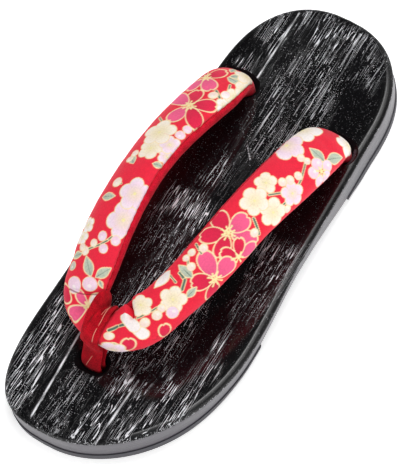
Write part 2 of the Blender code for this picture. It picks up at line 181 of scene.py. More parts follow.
def ring_mesh(name: str, rings: Array, lids: bool, weld: float = 0.0) -> bpy.types.Object:
    """Make a closed surface from closed rings of points, one quad for each pair of neighbours.

    Args:
        name: the new object's name.
        rings: points as rings by points by three.
        lids: whether the first and last rings are closed by a flat face.
        weld: distance under which points are merged, for rings that end in a line or a point.

    Returns:
        The object, at the origin, with smooth faces that point outwards.
    """
    count, around, _ = rings.shape
    index = np.arange(count * around).reshape(count, around)
    ahead = np.roll(index, -1, axis=1)
    quads = np.stack((index[:-1], ahead[:-1], ahead[1:], index[1:]), axis=-1).reshape(-1, 4)
    faces = quads.tolist()
    if lids:
        faces += [index[0, ::-1].tolist(), index[-1].tolist()]
    mesh = bpy.data.meshes.new(name)
    mesh.from_pydata(rings.reshape(-1, 3), [], faces)
    work = bmesh.new()
    work.from_mesh(mesh)
    if weld:
        bmesh.ops.remove_doubles(work, verts=work.verts, dist=weld)
        bmesh.ops.dissolve_degenerate(work, edges=work.edges, dist=weld)
    bmesh.ops.recalc_face_normals(work, faces=work.faces)
    work.to_mesh(mesh)
    work.free()
    mesh.shade_smooth()
    return show(name, mesh)


def paint(mesh: bpy.types.Mesh, name: str, red: Array, green: Array, blue: Array) -> None:
    """Give a mesh's points a named colour, from its three channels.

    Args:
        mesh: the mesh to paint.
        name: the colour's name.
        red: one value for each point.
        green: the same.
        blue: the same.
    """
    carried = mesh.color_attributes.new(name, "FLOAT_COLOR", "POINT")
    colour = np.stack((red, green, blue, 0 * red + 1), axis=1)
    carried.data.foreach_set("color", colour.astype(np.float32).ravel())


def stand_in(piece: bpy.types.Object, node: str) -> None:
    """Let a piece ride on the sandal in place of a CAD node, and report it.

    Args:
        piece: the finished piece.
        node: the CAD node that it replaces.
    """
    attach(piece, "root")
    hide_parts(node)
    log.info("%s: %d faces, stands for %s", piece.name, len(piece.data.polygons), node)


class Nodes:
    """A material's node tree, with short calls for the nodes that the finishes use."""

    def __init__(self, name: str) -> None:
        """Start a material with its Principled shader.

        Args:
            name: the material's name.
        """
        self.material = bpy.data.materials.new(name)
        self.material.use_nodes = True
        self.tree = self.material.node_tree
        self.shader = self.tree.nodes["Principled BSDF"]

    def add(self, kind: str, **inputs: object) -> bpy.types.Node:
        """Add a node, and set or link its inputs.

        Args:
            kind: the node's type, without its ShaderNode prefix.
            inputs: for a lower-case name the node's own setting, and for any other, with _ for
                a space, the input's value or the socket to link to it.

        Returns:
            The node.
        """
        node = self.tree.nodes.new("ShaderNode" + kind)
        for name, value in inputs.items():
            if name[0].islower():
                setattr(node, name, value)
            else:
                self.feed(node.inputs[name.replace("_", " ")], value)
        return node

    def feed(self, socket: bpy.types.NodeSocket, value: object) -> None:
        """Link a socket to another, or set its value.

        Args:
            socket: the input.
            value: a socket to link, or a value.
        """
        if isinstance(value, bpy.types.NodeSocket):
            self.tree.links.new(value, socket)
        else:
            socket.default_value = value

    def set(self, **inputs: object) -> None:
        """Set or link the shader's inputs, with _ for a space."""
        for name, value in inputs.items():
            self.feed(self.shader.inputs[name.replace("_", " ")], value)

    def math(self, operation: str, *values: object) -> bpy.types.NodeSocket:
        """Return the result of a Math node.

        Args:
            operation: what the node does.
            values: sockets or numbers, in order.

        Returns:
            The output socket.
        """
        node = self.add("Math", operation=operation)
        for socket, value in zip(node.inputs, values):
            self.feed(socket, value)
        return node.outputs[0]

    def place(self, grain: Triple) -> bpy.types.NodeSocket:
        """Return Object coordinates divided by a grain's size along each axis, in metres.

        Args:
            grain: the size of a grain along each axis.

        Returns:
            The output socket.
        """
        spot = self.add("TexCoord").outputs["Object"]
        scale = tuple(1 / size for size in grain)
        return self.add("Mapping", Vector=spot, Scale=scale).outputs[0]

    def noise(self, grain: Triple, detail: float = 2.0) -> bpy.types.NodeSocket:
        """Return noise whose features have a grain's size along each axis."""
        spot = self.place(grain)
        return self.add("TexNoise", Vector=spot, Scale=1.0, Detail=detail, Roughness=0.5).outputs[0]

    def between(
        self, value: object, low: float, high: float, to_low: float = 0.0, to_high: float = 1.0
    ) -> bpy.types.NodeSocket:
        """Return a value carried from one range to another, clipped to it, along a smooth step."""
        ends = {"From_Min": low, "From_Max": high, "To_Min": to_low, "To_Max": to_high}
        return self.add("MapRange", interpolation_type="SMOOTHSTEP", Value=value, **ends).outputs[0]

    def mix(self, share: object, first: object, second: object) -> bpy.types.NodeSocket:
        """Return a blend of two colours.

        Args:
            share: how much of the second colour there is.
            first: a colour or socket.
            second: a colour or socket.

        Returns:
            The output socket.
        """
        node = self.add("Mix", data_type="RGBA")
        for index, value in ((0, share), (6, first), (7, second)):
            self.feed(node.inputs[index], value)
        return node.outputs[2]

    def bump(self, height: object, distance: float, strength: float = 1.0) -> bpy.types.NodeSocket:
        """Return a normal raised by a height of 0 to 1 over a distance in metres."""
        return self.add("Bump", Height=height, Distance=distance, Strength=strength).outputs[0]


@dataclass(frozen=True)
class GrainLacquer:
    """Glossy black lacquer over wood with a brushing grain, whose ridges and specks glint where the
    brushing is strong; their tops are painted pale as painted highlights, and the ground there has a faint
    painted sheen.
    """

    name: str = "lacquer_grain_painted_glints"
    colour: Colour = (0.0030, 0.0028, 0.0034, 1.0)
    # painted sheen: a faint grey on the ground where the brushing is strong
    painted_sheen: Colour = (0.007, 0.007, 0.008, 1.0)
    # painted highlight: the pale colour on the tops of ridges and specks, standing for their glints
    painted_glint: Colour = (0.88, 0.88, 0.92, 1.0)
    roughness: float = 0.12
    coat: float = 0.15
    ridge: Triple = (0.78 * MM, 40.0 * MM, 0.78 * MM)
    break_up: Triple = (1.3 * MM, 11.0 * MM, 1.3 * MM)
    speck: Triple = (0.46 * MM, 0.58 * MM, 0.46 * MM)
    relief: float = 0.14 * MM
    # each pair is where a noise or a height starts to count, and where it counts in full
    ridge_from_to: tuple[float, float] = (0.052, 0.022)
    unbroken_from_to: tuple[float, float] = (0.39, 0.47)
    speck_from_to: tuple[float, float] = (0.66, 0.72)
    painted_glint_from_to: tuple[float, float] = (0.12, 0.90)

    def material(self) -> bpy.types.Material:
        """Build the finish.

        Long thin ridges, where drawn-out noise crosses its middle, broken up along their length,
        times the brushing that the mesh carries in red, and round specks, times what it carries
        in green, stand out of a flat gloss. Their tops are painted pale: painted highlights for
        their glints. The red also lifts the ground with a faint painted sheen.

        Returns:
            The material.
        """
        nodes = Nodes(self.name)
        carried = nodes.add("VertexColor", layer_name=Footbed.BRUSHING_AND_GLINTS).outputs[0]
        brushing_and_sheen, speckled, stroked = nodes.add("SeparateColor", Color=carried).outputs[:3]
        level = nodes.math("ABSOLUTE", nodes.math("SUBTRACT", nodes.noise(self.ridge, detail=0.0), 0.5))
        ridge = nodes.between(level, *self.ridge_from_to)
        gate = nodes.between(nodes.noise(self.break_up, detail=1.0), *self.unbroken_from_to)
        points = nodes.between(nodes.noise(self.speck, detail=1.0), *self.speck_from_to)
        lines = nodes.math("MAXIMUM", nodes.math("MULTIPLY", ridge, gate), stroked)
        streaks = nodes.math("MULTIPLY", lines, nodes.math("MAXIMUM", brushing_and_sheen, stroked))
        height = nodes.math("MULTIPLY_ADD", points, speckled, streaks)
        # painted sheen on the ground where the brushing is strong
        ground = nodes.mix(brushing_and_sheen, self.colour, self.painted_sheen)
        # painted highlights: the tops of the ridges and specks turn pale
        painted_glint = nodes.between(height, *self.painted_glint_from_to)
        nodes.set(Base_Color=nodes.mix(painted_glint, ground, self.painted_glint), Roughness=self.roughness, IOR=1.38)
        nodes.set(Coat_Weight=self.coat, Coat_Roughness=0.08, Coat_IOR=1.5)
        normal = nodes.bump(height, self.relief)
        nodes.set(Normal=normal, Coat_Normal=normal)
        return nodes.material


@dataclass(frozen=True)
class WallLacquer:
    """Satin lacquer of the side wall, with faint brushing along the sole, painted a purple grey: a painted
    sheen for the pale floor's reflection in the lacquer, on top of its real reflection.
    """

    name: str = "lacquer_wall"
    # painted sheen: the purple grey lifts the lacquer towards the pale floor's reflection
    colour: Colour = (0.070, 0.064, 0.078, 1.0)
    brush: Triple = (9.0 * MM, 9.0 * MM, 0.5 * MM)
    speck: Triple = (0.6 * MM, 0.6 * MM, 0.6 * MM)

    def material(self) -> bpy.types.Material:
        """Build the finish, from brushing along the wall and specks in the lacquer.

        Returns:
            The material.
        """
        nodes = Nodes(self.name)
        brush = nodes.noise(self.brush)
        speck = nodes.noise(self.speck)
        height = nodes.math("MULTIPLY_ADD", speck, 0.5, brush)
        nodes.set(Base_Color=self.colour, Roughness=nodes.between(height, 0.5, 1.0, 0.44, 0.30), IOR=1.6)
        nodes.set(Normal=nodes.bump(height, 0.12 * MM, 0.7))
        return nodes.material


@dataclass(frozen=True)
class HoleWall:
    """Dull black stain on the cut wood inside a hole."""

    name: str = "stained_hole"
    colour: Colour = (0.004, 0.003, 0.004, 1.0)
    fibre: Triple = (0.5 * MM, 3.0 * MM, 0.5 * MM)

    def material(self) -> bpy.types.Material:
        """Build the finish, with the wood's fibres raised a little.

        Returns:
            The material.
        """
        nodes = Nodes(self.name)
        normal = nodes.bump(nodes.noise(self.fibre), 0.1 * MM)
        nodes.set(Base_Color=self.colour, Roughness=0.85, Specular_IOR_Level=0.1, Normal=normal)
        return nodes.material


@dataclass(frozen=True)
class Rubber:
    """Dark grey foamed rubber with a fine pebbled skin."""

    name: str = "foam_rubber"
    low: Colour = (0.040, 0.038, 0.046, 1.0)
    high: Colour = (0.080, 0.078, 0.090, 1.0)
    pebble: Triple = (0.5 * MM, 0.5 * MM, 0.5 * MM)

    def material(self) -> bpy.types.Material:
        """Build the finish, lighter on top of the pebbles.

        Returns:
            The material.
        """
        nodes = Nodes(self.name)
        pebble = nodes.noise(self.pebble)
        nodes.set(Base_Color=nodes.mix(pebble, self.low, self.high), Roughness=0.72)
        nodes.set(Normal=nodes.bump(pebble, 0.15 * MM, 0.6))
        return nodes.material


@dataclass(frozen=True)
class PrintedCotton:
    """Plain-woven cotton whose colours are the print that its mesh carries."""

    name: str = "printed_cotton"
    thread: float = 0.32 * MM

    def material(self) -> bpy.types.Material:
        """Build the finish.

        The weave is two crossed sine waves along and around the strap, read from its UV map in
        metres. It raises the cloth and shades the print a little.

        Returns:
            The material.
        """
        nodes = Nodes(self.name)
        print_ink = nodes.add("VertexColor", layer_name=Strap.PRINT).outputs[0]
        uv = nodes.add("UVMap", uv_map=Strap.UV).outputs[0]
        cloth = nodes.add("SeparateXYZ", Vector=uv)
        turns = [nodes.math("MULTIPLY", axis, FULL_TURN / self.thread) for axis in cloth.outputs[:2]]
        waves = [nodes.math("SINE", turn) for turn in turns]
        weave = nodes.math("MULTIPLY_ADD", nodes.math("MULTIPLY", *waves), 0.5, 0.5)
        slub = nodes.noise((0.8 * MM, 0.8 * MM, 0.8 * MM))
        shade = nodes.math("MULTIPLY_ADD", slub, 0.30, 0.84)
        tinted = nodes.add("VectorMath", operation="SCALE", Scale=shade)
        nodes.feed(tinted.inputs[0], print_ink)
        nodes.set(Base_Color=tinted.outputs[0], Roughness=0.78, Normal=nodes.bump(weave, 0.05 * MM, 0.6))
        nodes.set(Sheen_Weight=0.12, Sheen_Roughness=0.5, Specular_IOR_Level=0.3)
        return nodes.material


@dataclass(frozen=True)
class Velvet:
    """Cotton velvet: dark into the pile, with a bright sheen where it turns away."""

    name: str
    deep: Colour
    lit: Colour
    sheen: float = 0.6
    pile: Triple = (0.45 * MM, 0.45 * MM, 0.45 * MM)
    nap: Triple = (4.0 * MM, 4.0 * MM, 4.0 * MM)

    def material(self) -> bpy.types.Material:
        """Build the finish, from fine pile and broad strokes of the nap.

        Returns:
            The material.
        """
        nodes = Nodes(self.name)
        pile = nodes.noise(self.pile, detail=2.0)
        nap = nodes.noise(self.nap, detail=2.0)
        share = nodes.between(nodes.math("MULTIPLY_ADD", nap, 0.7, pile), 0.55, 1.1)
        nodes.set(Base_Color=nodes.mix(share, self.deep, self.lit), Roughness=0.9)
        nodes.set(Specular_IOR_Level=0.15)
        nodes.set(Normal=nodes.bump(pile, 0.30 * MM, 0.8))
        nodes.set(Sheen_Weight=self.sheen, Sheen_Roughness=0.35, Sheen_Tint=(1.0, 0.18, 0.20, 1.0))
        return nodes.material


@dataclass(frozen=True)
class Thread:
    """Twisted sewing thread."""

    name: str
    colour: Colour

    def material(self) -> bpy.types.Material:
        """Build the finish, with the ply as fine noise.

        Returns:
            The material.
        """
        nodes = Nodes(self.name)
        ply = nodes.noise((0.15 * MM, 0.15 * MM, 0.15 * MM))
        nodes.set(Base_Color=self.colour, Roughness=0.6, Normal=nodes.bump(ply, 0.05 * MM))
        return nodes.material


@dataclass
class SolePlan:
    """The plan and heights of the sole, which the footbed and the pads share."""

    length: float = 245.0 * MM
    ball_width: float = 98.2 * MM
    heel_width: float = 83.8 * MM
    heel_round: float = 50.0 * MM
    heel_power: float = 2.35
    toe_round: float = 80.0 * MM
    toe_power: float = 2.4
    toe_sweep: float = 16.6 * MM
    heel_sweep: float = -1.4 * MM
    heel_height: float = 22.5 * MM
    ball_height: float = 18.0 * MM
    toe_spring: float = 1.6 * MM
    dish: float = 1.8 * MM
    arch_rise: float = 4.2 * MM
    wall_lean: float = 3.6 * MM
    round_width: float = 3.4 * MM
    round_drop: float = 1.7 * MM
    rubber: float = 5.5 * MM
    heel_pad: float = 73.5 * MM
    toe_pad: float = 89.0 * MM
    columns: tuple[str, ...] = ("along", "swell", "rim", "spring", "dish", "lean")
    rows: Rows = (
        (0.00, 0.00, 1.00, 0.00, 0.20, 0.10),
        (0.10, 0.00, 1.00, 0.00, 0.80, 0.30),
        (0.20, 0.02, 0.95, 0.00, 1.00, 0.40),
        (0.32, 0.24, 0.80, 0.00, 0.70, 0.45),
        (0.43, 0.42, 0.60, 0.00, 0.40, 0.75),
        (0.50, 0.56, 0.42, 0.00, 0.50, 0.95),
        (0.57, 0.79, 0.25, 0.00, 0.75, 1.00),
        (0.65, 0.99, 0.08, 0.00, 1.00, 0.95),
        (0.75, 1.00, 0.00, 0.08, 1.00, 0.80),
        (0.86, 1.00, 0.00, 0.40, 0.60, 0.35),
        (1.00, 1.00, 0.00, 1.00, 0.20, 0.10),
    )

    def read(self, share: Array, name: str) -> Array:
        """Read a column of the rows at shares of the length."""
        table = dict(zip(self.columns, np.array(self.rows).T))
        return smooth(share, table["along"], table[name])

    def half_width(self, share: Array) -> Array:
        """Return half the plan's width: a swelling width, rounded off by a superellipse at both ends.

        Args:
            share: shares of the length from the heel.

        Returns:
            Half widths, in metres.
        """
        width = self.heel_width + (self.ball_width - self.heel_width) * self.read(share, "swell")
        ends = 1.0
        for distance, reach, power in (
            (share * self.length, self.heel_round, self.heel_power),
            ((1 - share) * self.length, self.toe_round, self.toe_power),
        ):
            ends = ends * (1 - (1 - np.clip(distance / reach, 0, 1)) ** power) ** (1 / power)
        return width / 2 * ends

    def spine(self, share: Array) -> Array:
        """Return the x of the plan's middle line, a parabola over the toe and a line over the heel.

        Args:
            share: shares of the length from the heel.

        Returns:
            Values of x, in metres.
        """
        start = 1 - self.toe_round / self.length
        sweep = np.clip((share - start) / (1 - start), 0, 1)
        return self.toe_sweep * sweep**2 + self.heel_sweep * np.clip(1 - share / start, 0, 1)

    def edge(self, share: Array, side: Side, inset: Array) -> Array:
        """Return x and y of the plan's edge, moved in along its own normal by an inset.

        Args:
            share: shares of the length from the heel.
            side: the side of the sole.
            inset: how far in, in metres.

        Returns:
            Points as shares by two.
        """
        after, before = (np.clip(share + nudge, 0, 1) for nudge in (1e-4, -1e-4))
        x, x_after, x_before = (
            self.spine(place) + side.value * self.half_width(place) for place in (share, after, before)
        )
        run, lean = (after - before) * self.length, x_after - x_before
        size = np.hypot(run, lean)
        x = x - side.value * run / size * inset
        y = (share - 0.5) * self.length + side.value * lean / size * inset
        return np.stack((x, y), axis=-1)

    def wall(self, share: Array, side: Side, levels: Sequence[tuple[Array, Array]]) -> Array:
        """Return a side's wall through levels of inset and height, as stations by levels by three."""
        points = [np.column_stack((self.edge(share, side, inset), height)) for inset, height in levels]
        return np.stack(points, axis=1)

    def rim(self, share: Array) -> Array:
        """Return the height of the footbed's rim."""
        heel = (self.heel_height - self.ball_height) * self.read(share, "rim")
        return self.ball_height + heel + self.toe_spring * self.read(share, "spring")

    def top(self, x: Array, share: Array) -> Array:
        """Return the height of the top: the rim less a dish that fades out as (1 - x squared) squared.

        Args:
            x: places across the sole, in metres.
            share: shares of the length.

        Returns:
            Heights, in metres.
        """
        reach = np.maximum(self.half_width(share) - self.round_width, self.round_width)
        off = np.clip(np.abs(x - self.spine(share)) / reach, 0, 1)
        return self.rim(share) - self.dish * self.read(share, "dish") * (1 - off**2) ** 2

    def surface(self, x: float, y: float) -> float:
        """Return the height of the top at a place."""
        return float(self.top(np.array([x]), np.array([y / self.length + 0.5]))[0])

    def seat(self, share: Array) -> Array:
        """Return the height of the wood's underside: flat over the pads, a sine arch between them.

        Args:
            share: shares of the length from the heel.

        Returns:
            Heights, in metres.
        """
        start, end = self.heel_pad / self.length, 1 - self.toe_pad / self.length
        u = np.clip((share - start) / (end - start), 0, 1)
        return self.rubber + SEAT_GAP + self.arch_rise * np.sin(math.pi * u) ** 1.2

    def lean(self, share: Array, height: Array) -> Array:
        """Return how far the wall stands in from the plan at a height, in proportion below the arris."""
        arris = self.rim(share) - self.round_drop
        return self.wall_lean * self.read(share, "lean") * np.clip((arris - height) / arris, 0, 1)

    def place(self, across: float | Array, along: float | Array) -> Array:
        """Return x and y of a place given as shares of half the ball width and of the length."""
        return np.array((across * self.ball_width / 2, (along - 0.5) * self.length))


@dataclass
class Hole:
    """A countersunk oval hole through the footbed."""

    x: float
    y: float
    surface: float
    heading: float
    width: float
    thickness: float
    power: float
    flare: float = 2.6 * MM
    flare_depth: float = 3.0 * MM

    def cutter(self) -> bpy.types.Object:
        """Build the cutter: superelliptic rings that open towards the surface as a square curve.

        Returns:
            The cutter, which the footbed removes after use.
        """
        flared = np.linspace(-1.2, 1, 12) * self.flare_depth
        depth = np.concatenate((flared, [self.surface + self.flare_depth]))
        opening = self.flare * np.clip(1 - depth / self.flare_depth, 0, 3)
        turn = np.linspace(0, FULL_TURN, 72, endpoint=False)
        w, n = superellipse(turn, self.power)
        across = np.array((-math.sin(self.heading), math.cos(self.heading)))
        ahead = np.array((math.cos(self.heading), math.sin(self.heading)))
        wide = (self.width / 2 + opening)[:, None] * w
        thick = (self.thickness / 2 + opening)[:, None] * n
        plan = np.array((self.x, self.y)) + wide[..., None] * across + thick[..., None] * ahead
        height = np.broadcast_to((self.surface - depth)[:, None, None], plan.shape[:2] + (1,))
        return ring_mesh("hole_cutter", np.concatenate((plan, height), axis=-1), lids=True)


@dataclass
class Footbed:
    """The lacquered wooden sole with its three holes."""

    plan: SolePlan
    holes: Sequence[Hole]
    stations: int = 300
    top_columns: int = 180
    under_columns: int = 24
    wall_steps: int = 5
    round_steps: int = 7
    planing: float = 0.12 * MM
    edge_band: float = 5.0 * MM
    hole_reach: float = 14.0 * MM
    # x from and to, y from and to, soft edge, all in mm, then the strength of streaks and specks, which
    # raise relief and get painted highlights on their tops
    zones: Rows = (
        (22, 36, -113, -91, 3.0, 1.00, 0.6),
        (25, 33, -84, -75, 2.0, 0.90, 0.4),
        (13, 21, -120, -103, 3.0, 0.95, 0.5),
        (-20, 13, -121, -104, 4.0, 0.85, 0.6),
        (-31, -16, -116, -94, 4.0, 0.45, 0.9),
        (-3, 20, -101, -65, 5.0, 0.00, 0.6),
        (2, 28, -13, 4, 3.0, 1.00, 0.6),
        (4, 30, 3, 26, 5.0, 0.45, 0.9),
        (4, 18, -36, -17, 4.0, 0.60, 0.7),
        (-6, 6, -62, -18, 4.0, 0.06, 0.3),
        (-47, -24, -13, 13, 4.0, 0.75, 0.9),
        (-46, -26, 12, 31, 5.0, 0.40, 0.9),
        (-37, -33, 38, 61, 1.5, 0.70, 0.6),
        (28, 46, 60, 121, 3.0, 1.00, 0.9),
        (4, 21, 84, 123, 3.0, 0.45, 1.0),
        (-12, 1, 77, 121, 2.0, 1.00, 0.5),
        (-20, -12, 76, 118, 3.0, 0.60, 0.6),
        (-31, -20, 67, 111, 3.0, 0.95, 0.5),
        (-41, -30, 54, 101, 3.0, 0.80, 0.6),
    )
    # long strokes, raised lines painted pale as highlights: x and y of both ends, half width, all in mm,
    # then the strength of streaks
    strokes: Rows = (
        (21.5, -114, 21.5, -76, 0.6, 0.9),
        (-10.0, -118, -10.0, -85, 0.6, 0.7),
        (26.0, 72, 22.0, 123, 0.7, 1.0),
        (-11.0, 79, -11.0, 115, 0.65, 0.9),
        (-38.0, 80, -38.0, 92, 0.5, 0.7),
        (7.8, -45, 2.1, -38.6, 0.45, 0.9),
        (13.5, -50, 9.0, -46, 0.4, 0.5),
        (-34.0, 40, -36.0, 60, 0.6, 0.35),
    )
    rest: tuple[float, float] = (0.01, 0.30)
    # streaks and specks on a band just under the rim: a painted highlight line of pale specks along the
    # arris
    arris: tuple[float, float] = (0.60, 1.50)
    arris_width: float = 0.40
    # waves of the zones' edges, as for ripple: from ridge to ridge, and along the sides
    ragged_waves: Rows = ((1.9, 0.05, 0.0), (3.1, -0.08, 1.0), (0.7, 0.11, 2.0), (0.33, 0.05, 4.0))
    side_waves: Rows = ((0.4, 0.31, 0.0), (0.21, 0.17, 1.0), (0.63, -0.12, 2.0))
    # the attribute sets the relief and where pale highlights are painted on the lacquer
    BRUSHING_AND_GLINTS = "brushing"

    def shares(self) -> Array:
        """Return shares of the length, crowded towards both rounded ends as a cosine.

        Returns:
            One share for each station.
        """
        turn = np.linspace(0, math.pi, self.stations)
        even = np.linspace(0, 1, self.stations)
        crowded = (1 - np.cos(turn)) / 2
        return 0.35 * even + 0.65 * crowded

    def rings(self) -> Array:
        """Return a closed ring for each share: medial wall up, over the top, lateral wall down, and under.

        The walls rise in even steps from the seat to the arris. A quarter ellipse rounds the
        arris over. The top is the plan's dish, with slow hollows of a hand plane in it.

        Returns:
            Points as stations by ring points by three.
        """
        plan, share = self.plan, self.shares()
        seat, arris = plan.seat(share), plan.rim(share) - plan.round_drop
        levels = []
        for step in np.linspace(0, 1, self.wall_steps):
            height = seat + (arris - seat) * step
            levels.append((plan.lean(share, height), height))
        for turn in np.linspace(0, math.pi / 2, self.round_steps + 1)[1:]:
            inset = plan.round_width * (1 - math.cos(turn)) + 0 * share
            levels.append((inset, arris + plan.round_drop * math.sin(turn)))
        medial, lateral = (plan.wall(share, side, levels) for side in Side)
        top, step = span(medial[:, -1], lateral[:, -1], self.top_columns)
        x, y = top[..., 0], top[..., 1]
        where = np.broadcast_to(share[:, None], x.shape)
        inner = np.sin(math.pi * step) ** 0.5
        planed = ripple(x / MM, y / MM, ((0.24, 0.031, 0.4), (0.41, -0.022, 2.1), (0.13, 0.05, 4.0)))
        dished = plan.top(x.ravel(), where.ravel()).reshape(x.shape)
        top[..., 2] = dished + self.planing * planed * inner
        under, _ = span(lateral[:, 0], medial[:, 0], self.under_columns)
        return np.concatenate((medial, top, lateral[:, ::-1], under), axis=1)

    def build(self) -> bpy.types.Object:
        """Build the footbed, cut its holes, and give the walls and the top their finishes.

        Returns:
            The finished piece.
        """
        piece = ring_mesh("footbed_wood", self.rings(), lids=False, weld=WELD)
        for hole in self.holes:
            cutter = hole.cutter()
            cut = piece.modifiers.new("hole", "BOOLEAN")
            cut.object, cut.operation, cut.solver = cutter, "DIFFERENCE", "EXACT"
            bake_modifiers(piece)
            bpy.data.objects.remove(cutter, do_unlink=True)
        piece.data.materials.clear()
        arris = GrainLacquer("lacquer_arris", roughness=0.34, coat=0.0)
        for finish in (GrainLacquer(), WallLacquer(), HoleWall(), arris):
            piece.data.materials.append(finish.material())
        piece.data.polygons.foreach_set("material_index", self.finishes(piece.data))
        piece.data.shade_smooth()
        piece.data.set_sharp_from_angle(angle=CREASE_ANGLE)
        self.brush(piece.data)
        return piece

    def brush(self, mesh: bpy.types.Mesh) -> None:
        """Give the mesh its brushing, which raises relief and marks where highlights are painted pale:
        streaks in red, specks in green and strokes in blue.

        Each is the strongest of all the zones or strokes that reach a point. A zone falls off
        along a smooth step over its soft edge, which is ragged from ridge to ridge. A stroke
        falls off as a bell across it.

        Args:
            mesh: the footbed's mesh.
        """
        place = np.empty(len(mesh.vertices) * 3)
        mesh.vertices.foreach_get("co", place)
        x, y, z = place.reshape(-1, 3).T / MM
        streaks, specks = (np.full(len(x), level) for level in self.rest)
        strokes = np.zeros(len(x))
        ragged = 5.0 * ripple(x, y, self.ragged_waves)
        waved = 2.5 * ripple(x, y, self.side_waves)
        for west, east, south, north, soft, streak, speck in self.zones:
            across = np.minimum(x - west, east - x) + waved
            inside = np.minimum(across, np.minimum(y - south, north - y) + ragged)
            share = ease(inside, -soft, 1.5 * soft)
            streaks = np.maximum(streaks, streak * share)
            specks = np.maximum(specks, speck * share)
        for x0, y0, x1, y1, half, streak in self.strokes:
            u, v = x1 - x0, y1 - y0
            run = np.clip(((x - x0) * u + (y - y0) * v) / (u**2 + v**2), 0, 1)
            off = np.hypot(x - x0 - run * u, y - y0 - run * v)
            fade = 0.85 + 0.15 * np.sin(0.5 * y + x0)
            strokes = np.maximum(strokes, streak * fade * np.exp(-((off / half) ** 2)))
        # a painted highlight along the arris: strong streaks and specks on a band just under the rim
        share = np.clip(y * MM / self.plan.length + 0.5, 0, 1)
        low = (self.plan.rim(share) - 0.9 * self.plan.round_drop) / MM
        rim = np.exp(-(((z - low) / self.arris_width) ** 2))
        streaks = np.maximum(streaks, self.arris[0] * rim)
        specks = np.maximum(specks, self.arris[1] * rim)
        paint(mesh, self.BRUSHING_AND_GLINTS, streaks, specks, strokes)

    def finishes(self, mesh: bpy.types.Mesh) -> Array:
        """Return each face's finish: 0 on top, 1 on walls and underneath, 2 in holes, 3 on the arris.

        Args:
            mesh: the footbed's mesh.

        Returns:
            One index for each face.
        """
        centre, normal = np.empty((2, len(mesh.polygons) * 3))
        mesh.polygons.foreach_get("center", centre)
        mesh.polygons.foreach_get("normal", normal)
        centre, normal = centre.reshape(-1, 3), normal.reshape(-1, 3)
        share = centre[:, 1] / self.plan.length + 0.5
        below = centre[:, 2] < self.plan.rim(share) - self.plan.round_drop
        off = np.abs(centre[:, 0] - self.plan.spine(share))
        edge = off > self.plan.half_width(share) - self.edge_band
        walls = below & (edge | (normal[:, 2] < -0.5))
        x, y = centre[:, 0], centre[:, 1]
        away = np.min([np.hypot(x - hole.x, y - hole.y) for hole in self.holes], axis=0)
        cut = (away < self.hole_reach) & (np.abs(normal[:, 2]) < 0.9) & ~edge
        arris = edge & (centre[:, 2] < self.plan.rim(share) - 0.03 * self.plan.round_drop)
        return np.select((cut, walls, arris), (2, 1, 3), 0).astype(np.int32)


def bake_modifiers(piece: bpy.types.Object) -> None:
    """Replace a piece's mesh by what its modifiers make of it.

    Args:
        piece: the piece, whose modifiers are removed.
    """
    graph = bpy.context.evaluated_depsgraph_get()
    made = bpy.data.meshes.new_from_object(piece.evaluated_get(graph), depsgraph=graph)
    piece.modifiers.clear()
    old, piece.data = piece.data, made
    bpy.data.meshes.remove(old)


@dataclass
class RubberPad:
    """One foamed rubber pad, ribbed below."""

    plan: SolePlan
    node: str
    start: float
    end: float
    proud: float = 0.5 * MM
    bevel: float = 0.8 * MM
    rib: float = 5.0 * MM
    rib_depth: float = 0.8 * MM
    rib_end: float = 8.0 * MM
    taper: float = 0.0
    taper_run: float = 14.0 * MM
    stations: int = 150
    columns: int = 40

    def build(self) -> bpy.types.Object:
        """Build the pad: walls in line with the wood, a bevel below, and ribs across the tread.

        The ribs are a cosine along the sole, clipped so that their lands are flat, and they fade
        out before the pad's edge.

        Returns:
            The finished piece.
        """
        plan = self.plan
        turn = np.linspace(0, math.pi / 2, self.stations)
        crowd = 1 - np.cos(turn) if self.start == 0 else np.sin(turn)
        mixed = 0.4 * np.linspace(0, 1, self.stations) + 0.6 * crowd
        share = self.start + (self.end - self.start) * mixed
        base = self.taper * ease(share, self.end - self.taper_run / plan.length, self.end)
        foot = plan.lean(share, base) - self.proud
        levels = [
            (foot + self.bevel, base),
            (foot + self.bevel * 0.3, base + self.bevel * 0.3),
            (foot, base + self.bevel),
            (plan.lean(share, 0 * base + plan.rubber) - self.proud, 0 * base + plan.rubber),
        ]
        medial, lateral = (plan.wall(share, side, levels) for side in Side)
        top, _ = span(medial[:, -1], lateral[:, -1], self.columns)
        under, step = span(lateral[:, 0], medial[:, 0], self.columns)
        wave = np.clip(np.cos(2 * math.pi * under[..., 1] / self.rib) * 2 - 0.6, 0, 1)
        fade = ease(np.sin(math.pi * step), 0.25, 0.45)
        inside = np.minimum(share - self.start, self.end - share) * plan.length
        under[..., 2] += self.rib_depth * wave * fade * np.clip(inside / self.rib_end, 0, 1)[:, None]
        rings = np.concatenate((medial, top, lateral[:, ::-1], under), axis=1)
        piece = ring_mesh(self.node + "_pad", rings, lids=True, weld=WELD)
        piece.data.set_sharp_from_angle(angle=CREASE_ANGLE)
        piece.data.materials.append(Rubber().material())
        stand_in(piece, self.node)
        return piece


@dataclass
class Frames:
    """Sections of the strap: their middles, the unit vectors across and up, and their half sizes."""

    points: Array
    out: Array
    up: Array
    half_w: Array
    half_n: Array

    def surface(self, turn: Array, power: float) -> Array:
        """Return points at angles around each section, which is a superellipse.

        Args:
            turn: angles round a section.
            power: the superellipse's power.

        Returns:
            Points as sections by angles by three.
        """
        w, n = superellipse(turn, power)
        wide = (self.half_w[:, None] * w)[..., None] * self.out[:, None]
        high = (self.half_n[:, None] * n)[..., None] * self.up[:, None]
        return self.points[:, None] + wide + high


